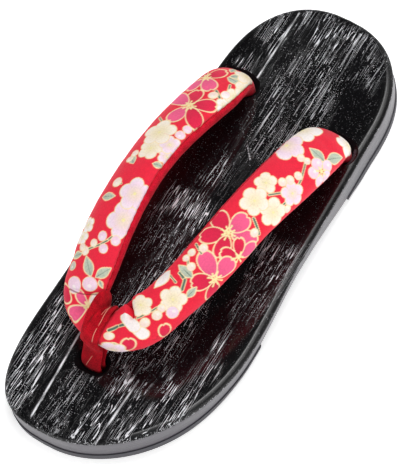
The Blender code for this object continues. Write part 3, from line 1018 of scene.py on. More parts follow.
@dataclass
class StrapForm:
    """The padded strap's middle line and sections, from the lateral hole round to the medial one."""

    plan: SolePlan
    width: float = 24.6 * MM
    thickness: float = 13.0 * MM
    rise: float = 35.5 * MM
    power: float = 2.4
    crotch: tuple[float, float] = (0.226, 0.7388)
    tenon: float = 8.5 * MM
    hole_width: float = 19.0 * MM
    hole_thickness: float = 10.0 * MM
    hole_clearance: float = 0.5 * MM
    rear: tuple[tuple[float, float], tuple[float, float]] = ((-0.598, 0.2460), (0.586, 0.2190))
    coarse: int = 84
    blend: tuple[int, ...] = (1, 2, 3, 2, 1)
    # across, along, height, width, thick, tilt
    lateral: Rows = (
        (-0.598, 0.2480, 0.215, 0.79, 0.78, 0.0),
        (-0.596, 0.2650, 0.395, 0.94, 0.94, 6.0),
        (-0.590, 0.3050, 0.590, 1.02, 1.00, 16.0),
        (-0.572, 0.3670, 0.775, 1.03, 1.00, 22.0),
        (-0.542, 0.4260, 0.905, 1.00, 1.00, 26.0),
        (-0.503, 0.4820, 0.965, 0.97, 1.00, 26.0),
        (-0.408, 0.5950, 0.925, 0.95, 1.00, 22.0),
        (-0.291, 0.6750, 0.810, 0.90, 0.98, 16.0),
    )
    medial: Rows = (
        (0.584, 0.2230, 0.215, 0.77, 0.78, 0.0),
        (0.570, 0.2400, 0.395, 0.87, 0.94, 6.0),
        (0.572, 0.2830, 0.570, 0.98, 1.00, 14.0),
        (0.600, 0.3350, 0.700, 1.02, 1.00, 20.0),
        (0.633, 0.4080, 0.840, 1.01, 1.00, 24.0),
        (0.626, 0.5150, 0.995, 0.97, 1.00, 25.0),
        (0.592, 0.6100, 0.985, 0.98, 1.00, 20.0),
        (0.544, 0.6980, 0.810, 0.95, 0.98, 14.0),
    )
    # turn, reach, height, width, thick, tilt
    bend: Rows = (
        (150.0, 0.612, 0.650, 0.86, 0.94, 8.0),
        (120.0, 0.570, 0.600, 0.70, 0.92, 3.0),
        (88.0, 0.543, 0.570, 0.52, 0.90, 0.0),
        (54.0, 0.543, 0.600, 0.63, 0.91, 3.0),
        (20.0, 0.546, 0.670, 0.81, 0.94, 8.0),
    )
    pinch: int = 2
    # the strap's heading in plan at each coarse station
    heading: Array = field(init=False, repr=False)

    def lift(self, share: Array) -> Array:
        """Return the height above the floor of a share of the rise."""
        return self.plan.ball_height + share * self.rise

    def pinch_centre(self) -> Array:
        """Return the middle of the pinched section, in the loop's plane.

        Returns:
            The point.
        """
        _, reach, height, *_ = self.bend[self.pinch]
        x, y = self.plan.place(*self.crotch)
        return np.array((x, y + reach * self.width, self.lift(height)))

    def rows(self) -> tuple[Array, Array]:
        """Return points and the columns width, thick and tilt along the whole strap.

        Returns:
            Points by three, and the columns by three.
        """
        arms = []
        for table in (self.lateral, self.medial):
            across, along, height, *rest = np.array(table).T
            arms.append(np.vstack((*self.plan.place(across, along), self.lift(height), *rest)).T)
        turn, reach, height, *rest = np.array(self.bend).T
        x, y = self.plan.place(*self.crotch)
        turn, radius = np.radians(turn), reach * self.width
        bend = np.vstack((x + radius * np.cos(turn), y + radius * np.sin(turn), self.lift(height), *rest)).T
        wide = (self.hole_width - 2 * self.hole_clearance) / self.width
        thick = (self.hole_thickness - 2 * self.hole_clearance) / self.thickness
        tenons = []
        for place in self.rear:
            x, y = self.plan.place(*place)
            surface = self.plan.surface(x, y)
            depths = (self.tenon, self.tenon / 2, 0.0)
            tenons.append(np.array([(x, y, surface - depth, wide, thick, 0.0) for depth in depths]))
        table = np.concatenate((tenons[0], arms[0], bend, arms[1][::-1], tenons[1][::-1]))
        return table[:, :3], table[:, 3:]

    def coarse_frames(self) -> Frames:
        """Return frames at stations spaced evenly along the strap's outer edge.

        The headings are blended over neighbours, so that sections fan out round the bend
        without crossing. Each section is then tilted about the middle line.

        Returns:
            The frames.
        """
        points, columns = self.rows()
        knots = run_along(points)
        fine = np.linspace(0, knots[-1], 700)
        move = np.diff(smooth(fine, knots, points), axis=0)
        length = np.linalg.norm(move, axis=1)
        turning = np.linalg.norm(np.diff(unit(move), axis=0, prepend=unit(move[:1])), axis=1)
        run = np.concatenate(([0.0], np.cumsum(length + self.width / 2 * turning)))
        at = np.interp(np.linspace(0, run[-1], self.coarse), run, fine)
        points, columns = smooth(at, knots, points), smooth(at, knots, columns)
        tangent = unit(np.gradient(points, axis=0))
        heading = np.unwrap(np.arctan2(tangent[:, 1], tangent[:, 0]))
        level = np.flatnonzero(np.linalg.norm(tangent[:, :2], axis=1) > 0.5)
        heading = np.interp(np.arange(len(points)), level, heading[level])
        padded = np.pad(heading, len(self.blend) // 2, mode="edge")
        heading = np.convolve(padded, self.blend, mode="valid") / sum(self.blend)
        out = np.stack((-np.sin(heading), np.cos(heading), 0 * heading), axis=1)
        up = unit(np.cross(tangent, out))
        tilt = np.radians(columns[:, 2])[:, None]
        width, thick = columns[:, 0] * self.width / 2, columns[:, 1] * self.thickness / 2
        self.heading = heading
        c, s = np.cos(tilt), np.sin(tilt)
        return Frames(points, out * c - up * s, up * c + out * s, width, thick)

    def frames(self, count: int) -> Frames:
        """Return frames at many even steps between the coarse stations.

        Args:
            count: how many frames there are.

        Returns:
            The frames.
        """
        coarse = self.coarse_frames()
        knots = np.arange(self.coarse, dtype=float)
        at = np.linspace(0, knots[-1], count)
        fields = (coarse.points, coarse.out, coarse.up, coarse.half_w, coarse.half_n)
        points, out, up, half_w, half_n = (smooth(at, knots, values) for values in fields)
        return Frames(points, unit(out), unit(up), half_w, half_n)


@dataclass
class Canvas:
    """The cloth to print on: places along and around the strap in mm, and the colour of each point."""

    along: Array
    around: Array
    colour: Array = field(init=False)
    soft: float = 0.22

    def __post_init__(self) -> None:
        """Dye the whole cloth."""
        self.colour = np.tile(Ink.GROUND.linear(), (self.along.size, 1))

    def near(self, along: float, around: float, reach: float, turn: float) -> tuple[Array, Array, Array]:
        """Return the points near a place, and their coordinates from it, turned by degrees.

        Args:
            along: the place along the strap, in mm.
            around: the place around it, in mm.
            reach: how far to look, in mm.
            turn: degrees from along towards around.

        Returns:
            The points' indices, and their coordinates along and across the turn.
        """
        x, y = self.along - along, self.around - around
        found = np.flatnonzero((np.abs(x) < reach) & (np.abs(y) < reach))
        return found, *turned(x[found], y[found], math.radians(turn))

    def lay(self, found: Array, distance: Array, ink: Array, strength: float = 1.0) -> None:
        """Print ink where a distance to a shape's edge, in mm, is negative, with a soft edge."""
        share = np.clip(0.5 - distance / self.soft, 0, 1)[:, None] * strength
        self.colour[found] = self.colour[found] * (1 - share) + ink * share

    def plum(self, along: float, around: float, reach: float, turn: float, ink: Ink) -> None:
        """Print a plum blossom: five discs round a middle, a shaded heart, and fine stamens.

        Args:
            along: its place along the strap, in mm.
            around: its place around it, in mm.
            reach: its radius.
            turn: degrees from along towards around.
            ink: its petals' ink.
        """
        found, x, y = self.near(along, around, reach * 1.2 + 1, turn)
        angles = np.radians(np.arange(5) * 72.0)
        out = 0.59 * reach
        discs = np.hypot(x[:, None] - out * np.cos(angles), y[:, None] - out * np.sin(angles))
        first, second = np.sort(discs - 0.41 * reach, axis=1)[:, :2].T
        radius, angle = np.hypot(x, y), np.arctan2(y, x)
        shape = np.minimum(first, radius - 0.45 * reach)
        self.lay(found, shape - 0.42, Ink.OUTLINE.linear())
        heart = ease(radius / reach, 0.75, 0.15)[:, None]
        edge = ease(radius / reach, 0.55, 1.0)[:, None]
        body = ink.linear() * (1 - edge) + (0.55 * ink.linear() + 0.45 * Ink.WHITE.linear()) * edge
        body = body * (1 - 0.45 * heart) + Ink.HEART.linear() * 0.45 * heart
        self.lay(found, shape, body)
        fold = np.where(radius > 0.36 * reach, np.abs(first - second) - 0.14, 1.0)
        self.lay(found, np.maximum(fold, shape), 0.5 * Ink.BLUSH.linear() + 0.5 * Ink.HEART.linear(), 0.85)
        rays = np.abs(np.sin(angle * 5)) * radius - 0.16
        self.lay(found, np.maximum(rays, radius - 0.34 * reach), Ink.HEART.linear() * 0.85, 0.8)
        self.lay(found, radius - 0.10 * reach, Ink.STAMEN.linear())

    def petal(
        self, heart_along: float, heart_around: float, along: float, around: float, half: float, ink: Ink
    ) -> None:
        """Print a cherry petal: a notched ellipse in outline that points away from its flower's heart.

        Args:
            heart_along: the heart's place along the strap.
            heart_around: the heart's place around it.
            along: the petal's middle along the strap.
            around: the petal's middle around it.
            half: half the petal's width.
            ink: the colour inside the outline.
        """
        run, rise = along - heart_along, around - heart_around
        reach = math.hypot(run, rise)
        found, u, v = self.near(along, around, reach + half + 1, math.degrees(math.atan2(rise, run)))
        long = 0.80 * reach
        swell = np.hypot(u / long, v / (half * (1 + 0.22 * u / long)))
        notch = (u - 0.84 * long - 0.8 * np.abs(v)) * 0.74
        shape = np.maximum((swell - 1) * half, notch)
        self.lay(found, shape - 0.26, Ink.OUTLINE.linear())
        shade = ease(u / long, -1.0, 0.9)[:, None]
        self.lay(found, shape + 0.28, ink.linear() * (0.90 + 0.14 * shade))

    def stamens(self, along: float, around: float, reach: float, turn: float, count: int) -> None:
        """Print a cherry's heart: pale clubs of two lengths round a small disc.

        Args:
            along: its place along the strap, in mm.
            around: its place around it, in mm.
            reach: length of the longer clubs.
            turn: degrees from along towards around.
            count: how many clubs there are.
        """
        found, x, y = self.near(along, around, reach + 1, turn)
        for k in range(count):
            u, v = turned(x, y, FULL_TURN * k / count)
            long = reach * (0.82 if k % 2 else 1.0)
            club = np.hypot(u - np.clip(u, 0, long), v) - 0.22 - 0.20 * np.clip(u / long, 0, 1) ** 2
            self.lay(found, club, Ink.STAMEN.linear())
        self.lay(found, np.hypot(x, y) - 0.8, Ink.STAMEN.linear())

    def leaf(self, along: float, around: float, length: float, turn: float, ink: Ink) -> None:
        """Print a leaf from its stalk: a half sine on each side of a rib, with paler margins.

        Args:
            along: its start along the strap, in mm.
            around: its start around it, in mm.
            length: its length.
            turn: degrees from along towards around.
            ink: its ink. Only a leaf in the leaf's own ink has veins.
        """
        found, x, y = self.near(along, around, length + 1.5, turn)
        u = np.clip(x / length, 0, 1)
        wide = 0.25 * length * np.sin(math.pi * u**0.85)
        beside = np.abs(y) - wide
        beyond = np.maximum(np.abs(x - length / 2) - length / 2, 0)
        shape = np.hypot(np.maximum(beside, 0), beyond) - np.clip(-beside, 0, 1)
        self.lay(found, shape - 0.40, Ink.OUTLINE.linear())
        self.lay(found, shape + 0.12, ink.linear() * (0.86 + 0.2 * u[:, None]))
        if ink is Ink.LEAF:
            vein = np.abs(y) - 0.16 + 0.1 * u
            side = np.abs(np.sin((x - 1.1 * np.abs(y)) * 2.6)) * 0.5 - 0.10
            inside = shape + 0.45
            self.lay(found, np.maximum(side, inside), Ink.STEM.linear(), 0.35)
            self.lay(found, np.maximum(vein, inside), Ink.STEM.linear(), 0.9)

    def bud(self, along: float, around: float, reach: float, ink: Ink) -> None:
        """Print a round bud, blushed on one side.

        Args:
            along: its place along the strap, in mm.
            around: its place around it, in mm.
            reach: its radius.
            ink: its ink.
        """
        found, x, y = self.near(along, around, reach + 1.5, 0.0)
        radius = np.hypot(x, y)
        self.lay(found, radius - reach - 0.32, Ink.OUTLINE.linear())
        blush = ease(x + y, -reach, reach)[:, None] * 0.35
        self.lay(found, radius - reach, ink.linear() * (1 - blush) + Ink.BLUSH.linear() * blush)
        self.lay(found, np.hypot(x + 0.3 * reach, y) - 0.3 * reach, Ink.WHITE.linear(), 0.7)

    def crease(self, along: float, around: float, length: float, turn: float, thick: float) -> None:
        """Paint shade in a crease of the cloth from its start, bowed a little, without an edge: a painted
        shade where the cloth folds in.

        Args:
            along: its start along the strap, in mm.
            around: its start around it, in mm.
            length: its length.
            turn: degrees from along towards around.
            thick: half its width.
        """
        found, x, y = self.near(along, around, length + 1.5, turn)
        bow = 0.9 * np.sin(math.pi * np.clip(x / length, 0, 1))
        # painted shade along the crease
        self.lay(found, np.hypot(x - np.clip(x, 0, length), y - bow) - thick, Ink.CREASE_SHADE.linear(), 0.8)

    def twig(
        self, along: float, around: float, length: float, turn: float, thick: float, ink: Ink = Ink.STEM
    ) -> None:
        """Print a straight twig, or a long petal in another ink, from its start: a bar with a pale edge.

        Args:
            along: its start along the strap, in mm.
            around: its start around it, in mm.
            length: its length.
            turn: degrees from along towards around.
            thick: half its width.
            ink: its ink.
        """
        found, x, y = self.near(along, around, length + 1.5, turn)
        shape = np.hypot(x - np.clip(x, 0, length), y) - thick
        self.lay(found, shape - 0.34, Ink.OUTLINE.linear())
        self.lay(found, shape, ink.linear())


@dataclass
class Print:
    """The chart of the print, and of the painted shade in the cloth's creases, in mm on the strap.

    along runs from the pinch, negative on the lateral arm and positive on the medial arm.
    around runs from the crest, positive towards the outer side. turn is in degrees from
    along towards around.
    """

    # along and around of the heart, then of the petal's middle, half width, ink
    petals: Motifs = (
        (-75.5, -2.2, -78.6, 5.4, 3.9, Ink.PINK),
        (-75.5, -2.2, -81.7, -1.2, 4.1, Ink.PINK),
        (-75.5, -2.2, -77.4, -8.6, 4.0, Ink.CRIMSON),
        (-75.5, -2.2, -70.1, -7.2, 3.8, Ink.CRIMSON),
        (-75.5, -2.2, -69.2, 0.4, 3.7, Ink.CRIMSON),
        (-70.5, 9.0, -76.2, 10.6, 3.2, Ink.PINK),
        (-70.5, 9.0, -74.2, 5.6, 2.6, Ink.CRIMSON),
        (-70.5, 9.0, -68.6, 4.4, 2.7, Ink.CRIMSON),
        (-57.0, 8.0, -63.4, 7.6, 4.0, Ink.PINK),
        (-57.0, 8.0, -59.6, 0.6, 3.9, Ink.PINK),
        (-57.0, 8.0, -52.2, 4.4, 3.8, Ink.CRIMSON),
        (-57.0, 8.0, -52.6, 12.0, 3.4, Ink.CRIMSON),
        (-25.0, 15.2, -26.6, 11.0, 2.5, Ink.CRIMSON),
        (-11.6, 13.4, -12.8, 9.4, 2.4, Ink.CRIMSON),
        (10.5, -2.5, 9.5, 3.8, 2.5, Ink.PINK),
        (10.5, -2.5, 14.6, -0.2, 2.1, Ink.PINK),
        (10.5, -2.5, 14.2, -6.4, 2.1, Ink.WHITE),
        (13.0, 4.0, 16.0, 8.4, 2.8, Ink.CRIMSON),
        (118.3, -1.5, 111.6, -0.6, 4.1, Ink.PINK),
        (118.3, -1.5, 113.6, -8.8, 3.8, Ink.CRIMSON),
        (118.3, -1.5, 122.6, -7.4, 3.8, Ink.CRIMSON),
        (118.3, -1.5, 124.6, 0.8, 3.6, Ink.CRIMSON),
        (118.3, -1.5, 120.8, 6.6, 3.9, Ink.PINK),
        (138.5, 6.5, 132.4, 8.0, 3.5, Ink.PINK),
        (138.5, 6.5, 134.6, 1.2, 3.6, Ink.PINK),
        (138.5, 6.5, 143.0, 3.0, 3.5, Ink.CRIMSON),
        (138.5, 6.5, 142.4, 11.5, 3.2, Ink.CRIMSON),
    )
    # along, around, reach, turn, count
    hearts: Motifs = (
        (-75.5, -2.2, 3.4, 14.0, 8),
        (-70.5, 9.0, 2.6, 200.0, 6),
        (-57.0, 8.0, 3.4, 30.0, 8),
        (-128.0, 9.3, 2.7, 10.0, 7),
        (10.5, -2.5, 2.4, 20.0, 5),
        (118.3, -1.5, 3.5, 20.0, 8),
        (138.5, 6.5, 3.2, 40.0, 7),
    )
    # along, around, length, turn, ink
    leaves: Motifs = (
        (25.3, -3.5, 9.5, 35.5, Ink.LEAF),
        (25.5, -6.0, 8.4, -41.0, Ink.LEAF),
        (24.6, -8.0, 3.9, -149.0, Ink.LEAF),
        (33.5, 5.3, 6.4, 118.0, Ink.LEAF),
        (-50.8, 0.0, 8.5, -87.0, Ink.LEAF),
        (-43.0, 5.0, 6.0, 185.0, Ink.LEAF),
        (-45.5, -10.0, 10.8, 9.5, Ink.WHITE),
        (-132.5, 7.0, 9.0, -87.0, Ink.LEAF),
        (-134.5, 7.5, 9.7, 151.0, Ink.LEAF),
        (60.0, 7.0, 7.2, -76.0, Ink.LEAF),
        (79.0, 0.5, 6.7, 48.0, Ink.LEAF),
        (81.5, -9.0, 5.2, -73.0, Ink.LEAF),
        (143.0, -3.0, 7.0, -90.0, Ink.LEAF),
        (144.0, -3.2, 6.0, -52.0, Ink.LEAF),
        (147.0, -1.5, 5.5, 15.0, Ink.LEAF),
        (-7.0, 7.5, 4.0, 150.0, Ink.LEAF),
    )
    # along, around, length, turn, thick, and an ink where it isn't the stem's
    twigs: Motifs = (
        (48.0, -9.5, 6.1, 145.0, 0.30),
        (43.0, -6.0, 4.2, 135.0, 0.30),
        (40.0, -3.0, 7.2, 124.0, 0.30),
        (-61.0, -4.8, 5.2, -107.0, 0.35),
        (-55.5, -7.5, 2.8, 45.0, 0.25),
        (-48.2, -5.5, 4.0, 84.0, 0.50),
        (-47.8, -1.5, 4.8, 31.0, 0.55),
        (-44.2, -7.5, 4.0, 86.0, 0.28),
        (-30.0, 0.0, 10.0, -6.0, 0.28),
        (-13.5, -0.5, 3.0, -2.0, 0.60),
        (-10.5, -0.6, 3.8, 30.0, 0.60),
        (-124.0, 1.5, 7.8, 27.0, 0.30),
        (-117.0, 5.0, 3.7, 19.0, 0.30),
        (-104.5, 7.3, 3.0, 6.0, 0.35),
        (-105.0, 3.0, 6.1, -35.0, 0.30),
        (-87.5, 2.0, 7.6, 67.0, 0.45),
        (132.5, -5.0, 6.7, -117.0, 0.45),
        (139.5, -7.0, 5.1, -151.0, 0.30),
        (107.5, 7.5, 4.0, -120.0, 0.28),
        (68.0, 0.2, 2.6, 84.0, 0.25),
        (-19.2, 6.8, 6.6, -72.0, 2.2, Ink.WHITE),
        (-17.4, 2.0, 6.4, -70.0, 2.4, Ink.WHITE),
    )
    # along, around, reach, turn, ink
    plums: Motifs = (
        (-152.0, 9.0, 7.0, 30.0, Ink.WHITE),
        (-141.0, -12.0, 9.5, 47.0, Ink.WHITE),
        (-126.0, -11.0, 8.5, 23.0, Ink.LILAC),
        (-109.0, 6.8, 5.6, 25.0, Ink.LILAC),
        (-103.0, -5.3, 5.0, 10.0, Ink.CREAM),
        (-96.0, 6.5, 6.5, 5.0, Ink.CREAM),
        (-93.5, -3.2, 6.5, 40.0, Ink.CREAM),
        (-37.8, 1.7, 6.0, 70.0, Ink.CREAM),
        (-24.7, -5.2, 5.2, 30.0, Ink.CREAM),
        (-7.5, 11.5, 4.4, 0.0, Ink.LILAC),
        (40.5, 8.5, 3.6, 0.0, Ink.WHITE),
        (46.3, 8.0, 3.6, 30.0, Ink.WHITE),
        (53.3, -9.5, 8.0, 36.0, Ink.LILAC),
        (65.5, -9.0, 7.6, 18.0, Ink.LILAC),
        (88.0, -12.5, 4.2, 0.0, Ink.LILAC),
        (88.5, -3.0, 6.0, 0.0, Ink.CREAM),
        (94.0, -10.0, 5.0, 40.0, Ink.LILAC),
        (98.5, -0.5, 8.0, 18.0, Ink.CREAM),
        (129.5, -13.6, 4.2, 30.0, Ink.WHITE),
        (136.0, -13.0, 4.6, 0.0, Ink.CREAM),
        (143.0, -13.0, 4.8, 20.0, Ink.CREAM),
        (150.5, -8.0, 5.6, 40.0, Ink.CREAM),
    )
    # along, around, reach, ink
    buds: Motifs = (
        (19.7, 3.5, 3.2, Ink.LILAC),
        (21.5, -4.0, 3.3, Ink.LILAC),
        (27.0, 8.0, 1.8, Ink.LEAF),
        (35.2, 3.8, 1.9, Ink.CREAM),
        (36.3, 6.0, 1.6, Ink.CREAM),
        (39.8, 0.3, 1.6, Ink.CREAM),
        (39.0, -5.4, 2.0, Ink.LILAC),
        (44.0, -2.8, 2.0, Ink.LILAC),
        (44.2, -9.7, 2.0, Ink.LILAC),
        (-34.0, 6.0, 2.6, Ink.LILAC),
        (-31.5, 1.5, 1.7, Ink.CREAM),
        (-63.3, -5.8, 1.8, Ink.CREAM),
        (-58.5, -8.5, 1.6, Ink.CREAM),
        (-55.0, -8.5, 1.4, Ink.CREAM),
        (-53.8, -3.8, 1.7, Ink.CREAM),
        (-28.0, 2.7, 2.0, Ink.CREAM),
        (-22.0, 2.5, 2.0, Ink.CREAM),
        (-7.3, 4.0, 1.6, Ink.CREAM),
        (-132.3, 9.6, 2.7, Ink.LILAC),
        (-129.6, 13.2, 2.6, Ink.LILAC),
        (-124.8, 12.2, 2.6, Ink.LILAC),
        (-124.2, 7.0, 2.6, Ink.LILAC),
        (-128.6, 5.4, 2.7, Ink.LILAC),
        (-125.8, 1.2, 1.5, Ink.CREAM),
        (-124.8, -1.8, 1.7, Ink.CREAM),
        (-117.0, 3.0, 1.8, Ink.CREAM),
        (-112.3, 1.6, 1.9, Ink.CREAM),
        (-108.8, -0.2, 1.8, Ink.CREAM),
        (-102.8, 10.5, 1.6, Ink.CREAM),
        (-83.3, 6.8, 1.8, Ink.CREAM),
        (68.3, 3.0, 2.2, Ink.CREAM),
        (84.5, 4.0, 1.7, Ink.CREAM),
        (81.0, 4.5, 1.6, Ink.CREAM),
        (101.5, -10.5, 2.2, Ink.LILAC),
        (106.3, -11.0, 2.0, Ink.LILAC),
        (129.7, -6.0, 2.0, Ink.CREAM),
        (133.6, -9.7, 2.0, Ink.WHITE),
    )
    # painted shade in the creases of the cloth: along, around, length, turn, thick
    creases: Rows = (
        (16.8, -9.0, 15.5, 86.0, 0.26),
        (-23.0, 11.0, 2.0, 5.0, 0.12),
    )

    def draw(self, canvas: Canvas) -> None:
        """Print every motif on a canvas, from the petals to the painted shade of the creases.

        Args:
            canvas: the cloth to print on.
        """
        for tables, brush in (
            (self.petals, canvas.petal),
            (self.leaves, canvas.leaf),
            (self.twigs, canvas.twig),
            (self.plums, canvas.plum),
            (self.buds, canvas.bud),
            (self.hearts, canvas.stamens),
            (self.creases, canvas.crease),
        ):
            for row in tables:
                brush(*row)


@dataclass
class Strap:
    """The printed cover and the velvet lining of the padded strap."""

    form: StrapForm
    seam_inside: float = 1.2 * MM
    gathered: tuple[float, float] = (1.9, 1.4)
    seam_outside: float = 3.0 * MM
    cover_stations: int = 1000
    cover_points: int = 96
    lining_stations: int = 500
    lining_points: int = 44
    # along, around, turn, length, width, depth: soft troughs, and ridges where the depth is negative
    folds: Rows = (
        (17.2, -1.0, 84.0, 10.0, 0.7, 0.9),
        (21.5, 0.0, 90.0, 10.0, 2.4, -0.5),
        (12.0, 1.0, 84.0, 9.0, 2.0, -0.5),
        (-18.8, -9.0, 80.0, 6.5, 1.5, 5.0),
        (-24.0, -9.0, 80.0, 6.0, 2.6, -0.7),
        (-12.0, -3.0, 60.0, 6.0, 1.6, 0.5),
        (-9.0, 4.0, 75.0, 7.0, 1.4, 0.5),
        (9.0, 4.0, 100.0, 7.0, 1.4, 0.5),
        (-30.0, -8.0, 55.0, 7.0, 1.8, 0.4),
        (33.0, 7.0, 110.0, 8.0, 2.0, 0.35),
        (-64.0, 8.0, 60.0, 8.0, 2.2, 0.25),
        (76.0, -8.0, 120.0, 9.0, 2.2, 0.35),
        (84.0, 3.0, 95.0, 9.0, 2.5, 0.25),
        (-118.0, -6.0, 100.0, 10.0, 2.6, 0.3),
        (128.0, 3.0, 80.0, 10.0, 2.6, 0.3),
        (-140.0, 2.0, 85.0, 9.0, 2.0, 0.3),
    )
    padding_waves: Rows = ((0.21, 0.33, 0.0), (0.13, -0.41, 1.7), (0.37, 0.12, 3.1), (0.55, -0.6, 0.9))
    pucker: float = 3.4
    velvet: Velvet = Velvet("velvet_lining", deep=(0.36, 0.003, 0.012, 1.0), lit=(0.72, 0.010, 0.035, 1.0))
    PRINT = "print_ink"
    UV = "cloth"

    def seam(self, offset: float) -> float:
        """Return the angle round a section of a seam at an offset from its middle."""
        return math.asin((2 * offset / self.form.thickness) ** (self.form.power / 2))

    def seams(self) -> tuple[float, float]:
        """Return the angles round a section of the outer seam and of the inner one."""
        return -self.seam(self.seam_outside), math.pi - self.seam(self.seam_inside)

    def angles(self, start: float, end: float, count: int) -> Array:
        """Return angles from start to end that are evenly spaced along a full section's outline.

        Args:
            start: the first angle.
            end: the last angle.
            count: how many angles there are.

        Returns:
            The angles.
        """
        fine = np.linspace(start, end, 2000)
        w, n = superellipse(fine, self.form.power)
        outline = np.column_stack((w * self.form.width / 2, n * self.form.thickness / 2))
        run = run_along(outline)
        return np.interp(np.linspace(0, run[-1], count), run, fine)

    def relief(self, along: Array, around: Array, edge: Array) -> Array:
        """Return how far the cloth stands out from its section, in metres.

        It is the sum of the folds, each a bell across its line and a longer bell along it, slow
        unevenness of the padding, puckers along the seams, and the roll of the cloth into them.

        Args:
            along: places along the strap, in mm.
            around: places around it, in mm.
            edge: distance to the nearer seam, in mm.

        Returns:
            Heights in the same shape.
        """
        height = 0.10 * ripple(along, around, self.padding_waves)
        for place, across, turn, length, width, depth in self.folds:
            u, v = turned(along - place, around - across, math.radians(turn))
            height -= depth * np.exp(-((v / width) ** 2)) * np.exp(-((u / length) ** 4))
        height += 0.10 * np.sin(along * FULL_TURN / self.pucker) * np.exp(-((edge / 2.2) ** 2))
        height -= 0.75 * np.exp(-((edge / 0.7) ** 2))
        return height * MM

    def half(
        self, name: str, start: float, end: float, shape: tuple[int, int], gap: float
    ) -> tuple[bpy.types.Object, Array, Array]:
        """Build one half of the strap as a closed tube whose inner side is the plane between the seams.

        Args:
            name: the piece's name.
            start: angle of the outer seam.
            end: angle of the inner seam.
            shape: stations along and points around.
            gap: how far the piece is moved away from the seam plane.

        Returns:
            The piece, and the places along and around of its points, in mm.
        """
        stations, count = shape
        frames = self.form.frames(stations)
        turn = self.angles(start, end, count)
        points = frames.surface(turn, self.form.power)
        along = run_along(frames.points) / MM
        pinch = np.argmin(np.linalg.norm(frames.points - self.form.pinch_centre(), axis=1))
        along = along - along[pinch]
        along = along + self.gathered[0] * ease(-along, 0, 20) - self.gathered[1] * ease(along, 0, 20)
        steps = np.linalg.norm(np.diff(points, axis=1, prepend=points[:, :1]), axis=2)
        girth = np.cumsum(steps, axis=1) / MM
        crest = np.argmin(np.abs(turn - math.pi / 2)) if end > start else 0
        around = girth[:, crest : crest + 1] - girth
        edge = np.minimum(girth, girth[:, -1:] - girth)
        along = np.broadcast_to(along[:, None], around.shape)
        outward = unit(points - frames.points[:, None])
        seam = points[:, -1] - points[:, 0]
        normal = unit(np.cross(seam, np.cross(frames.out, frames.up)))
        normal *= np.sign(np.sum(normal * (points[:, count // 2] - points[:, 0]), axis=1))[:, None]
        index = np.arange(stations)
        ends = np.minimum(index, index[::-1]) * (along[-1, 0] - along[0, 0]) / stations
        relief = self.relief(along, around, edge) * ease(ends, 10.0, 18.0)[:, None]
        points = points + outward * relief[..., None] + normal[:, None] * gap
        return ring_mesh(name, points, lids=True), along, around

    def cover(self) -> bpy.types.Object:
        """Build the printed upper half.

        Returns:
            The finished piece.
        """
        outer, inner = self.seams()
        shape = (self.cover_stations, self.cover_points)
        piece, along, around = self.half("strap_cotton", outer, inner, shape, 0.0)
        canvas = Canvas(along.ravel(), around.ravel())
        Print().draw(canvas)
        mesh = piece.data
        paint(mesh, self.PRINT, *canvas.colour.T)
        corner = np.empty(len(mesh.loops), np.int32)
        mesh.loops.foreach_get("vertex_index", corner)
        cloth = mesh.uv_layers.new(name=self.UV)
        place = np.stack((along.ravel(), around.ravel()), axis=1)[corner] * MM
        cloth.data.foreach_set("uv", place.astype(np.float32).ravel())
        mesh.materials.append(PrintedCotton().material())
        stand_in(piece, "strap_cover")
        return piece

    def lining(self) -> bpy.types.Object:
        """Build the velvet lower half, which climbs to the inner seam.

        Returns:
            The finished piece.
        """
        outer, inner = self.seams()
        shape = (self.lining_stations, self.lining_points)
        piece, _, _ = self.half("strap_velvet", outer, inner - FULL_TURN, shape, SEAT_GAP)
        piece.data.materials.append(self.velvet.material())
        stand_in(piece, "strap_lining")
        return piece


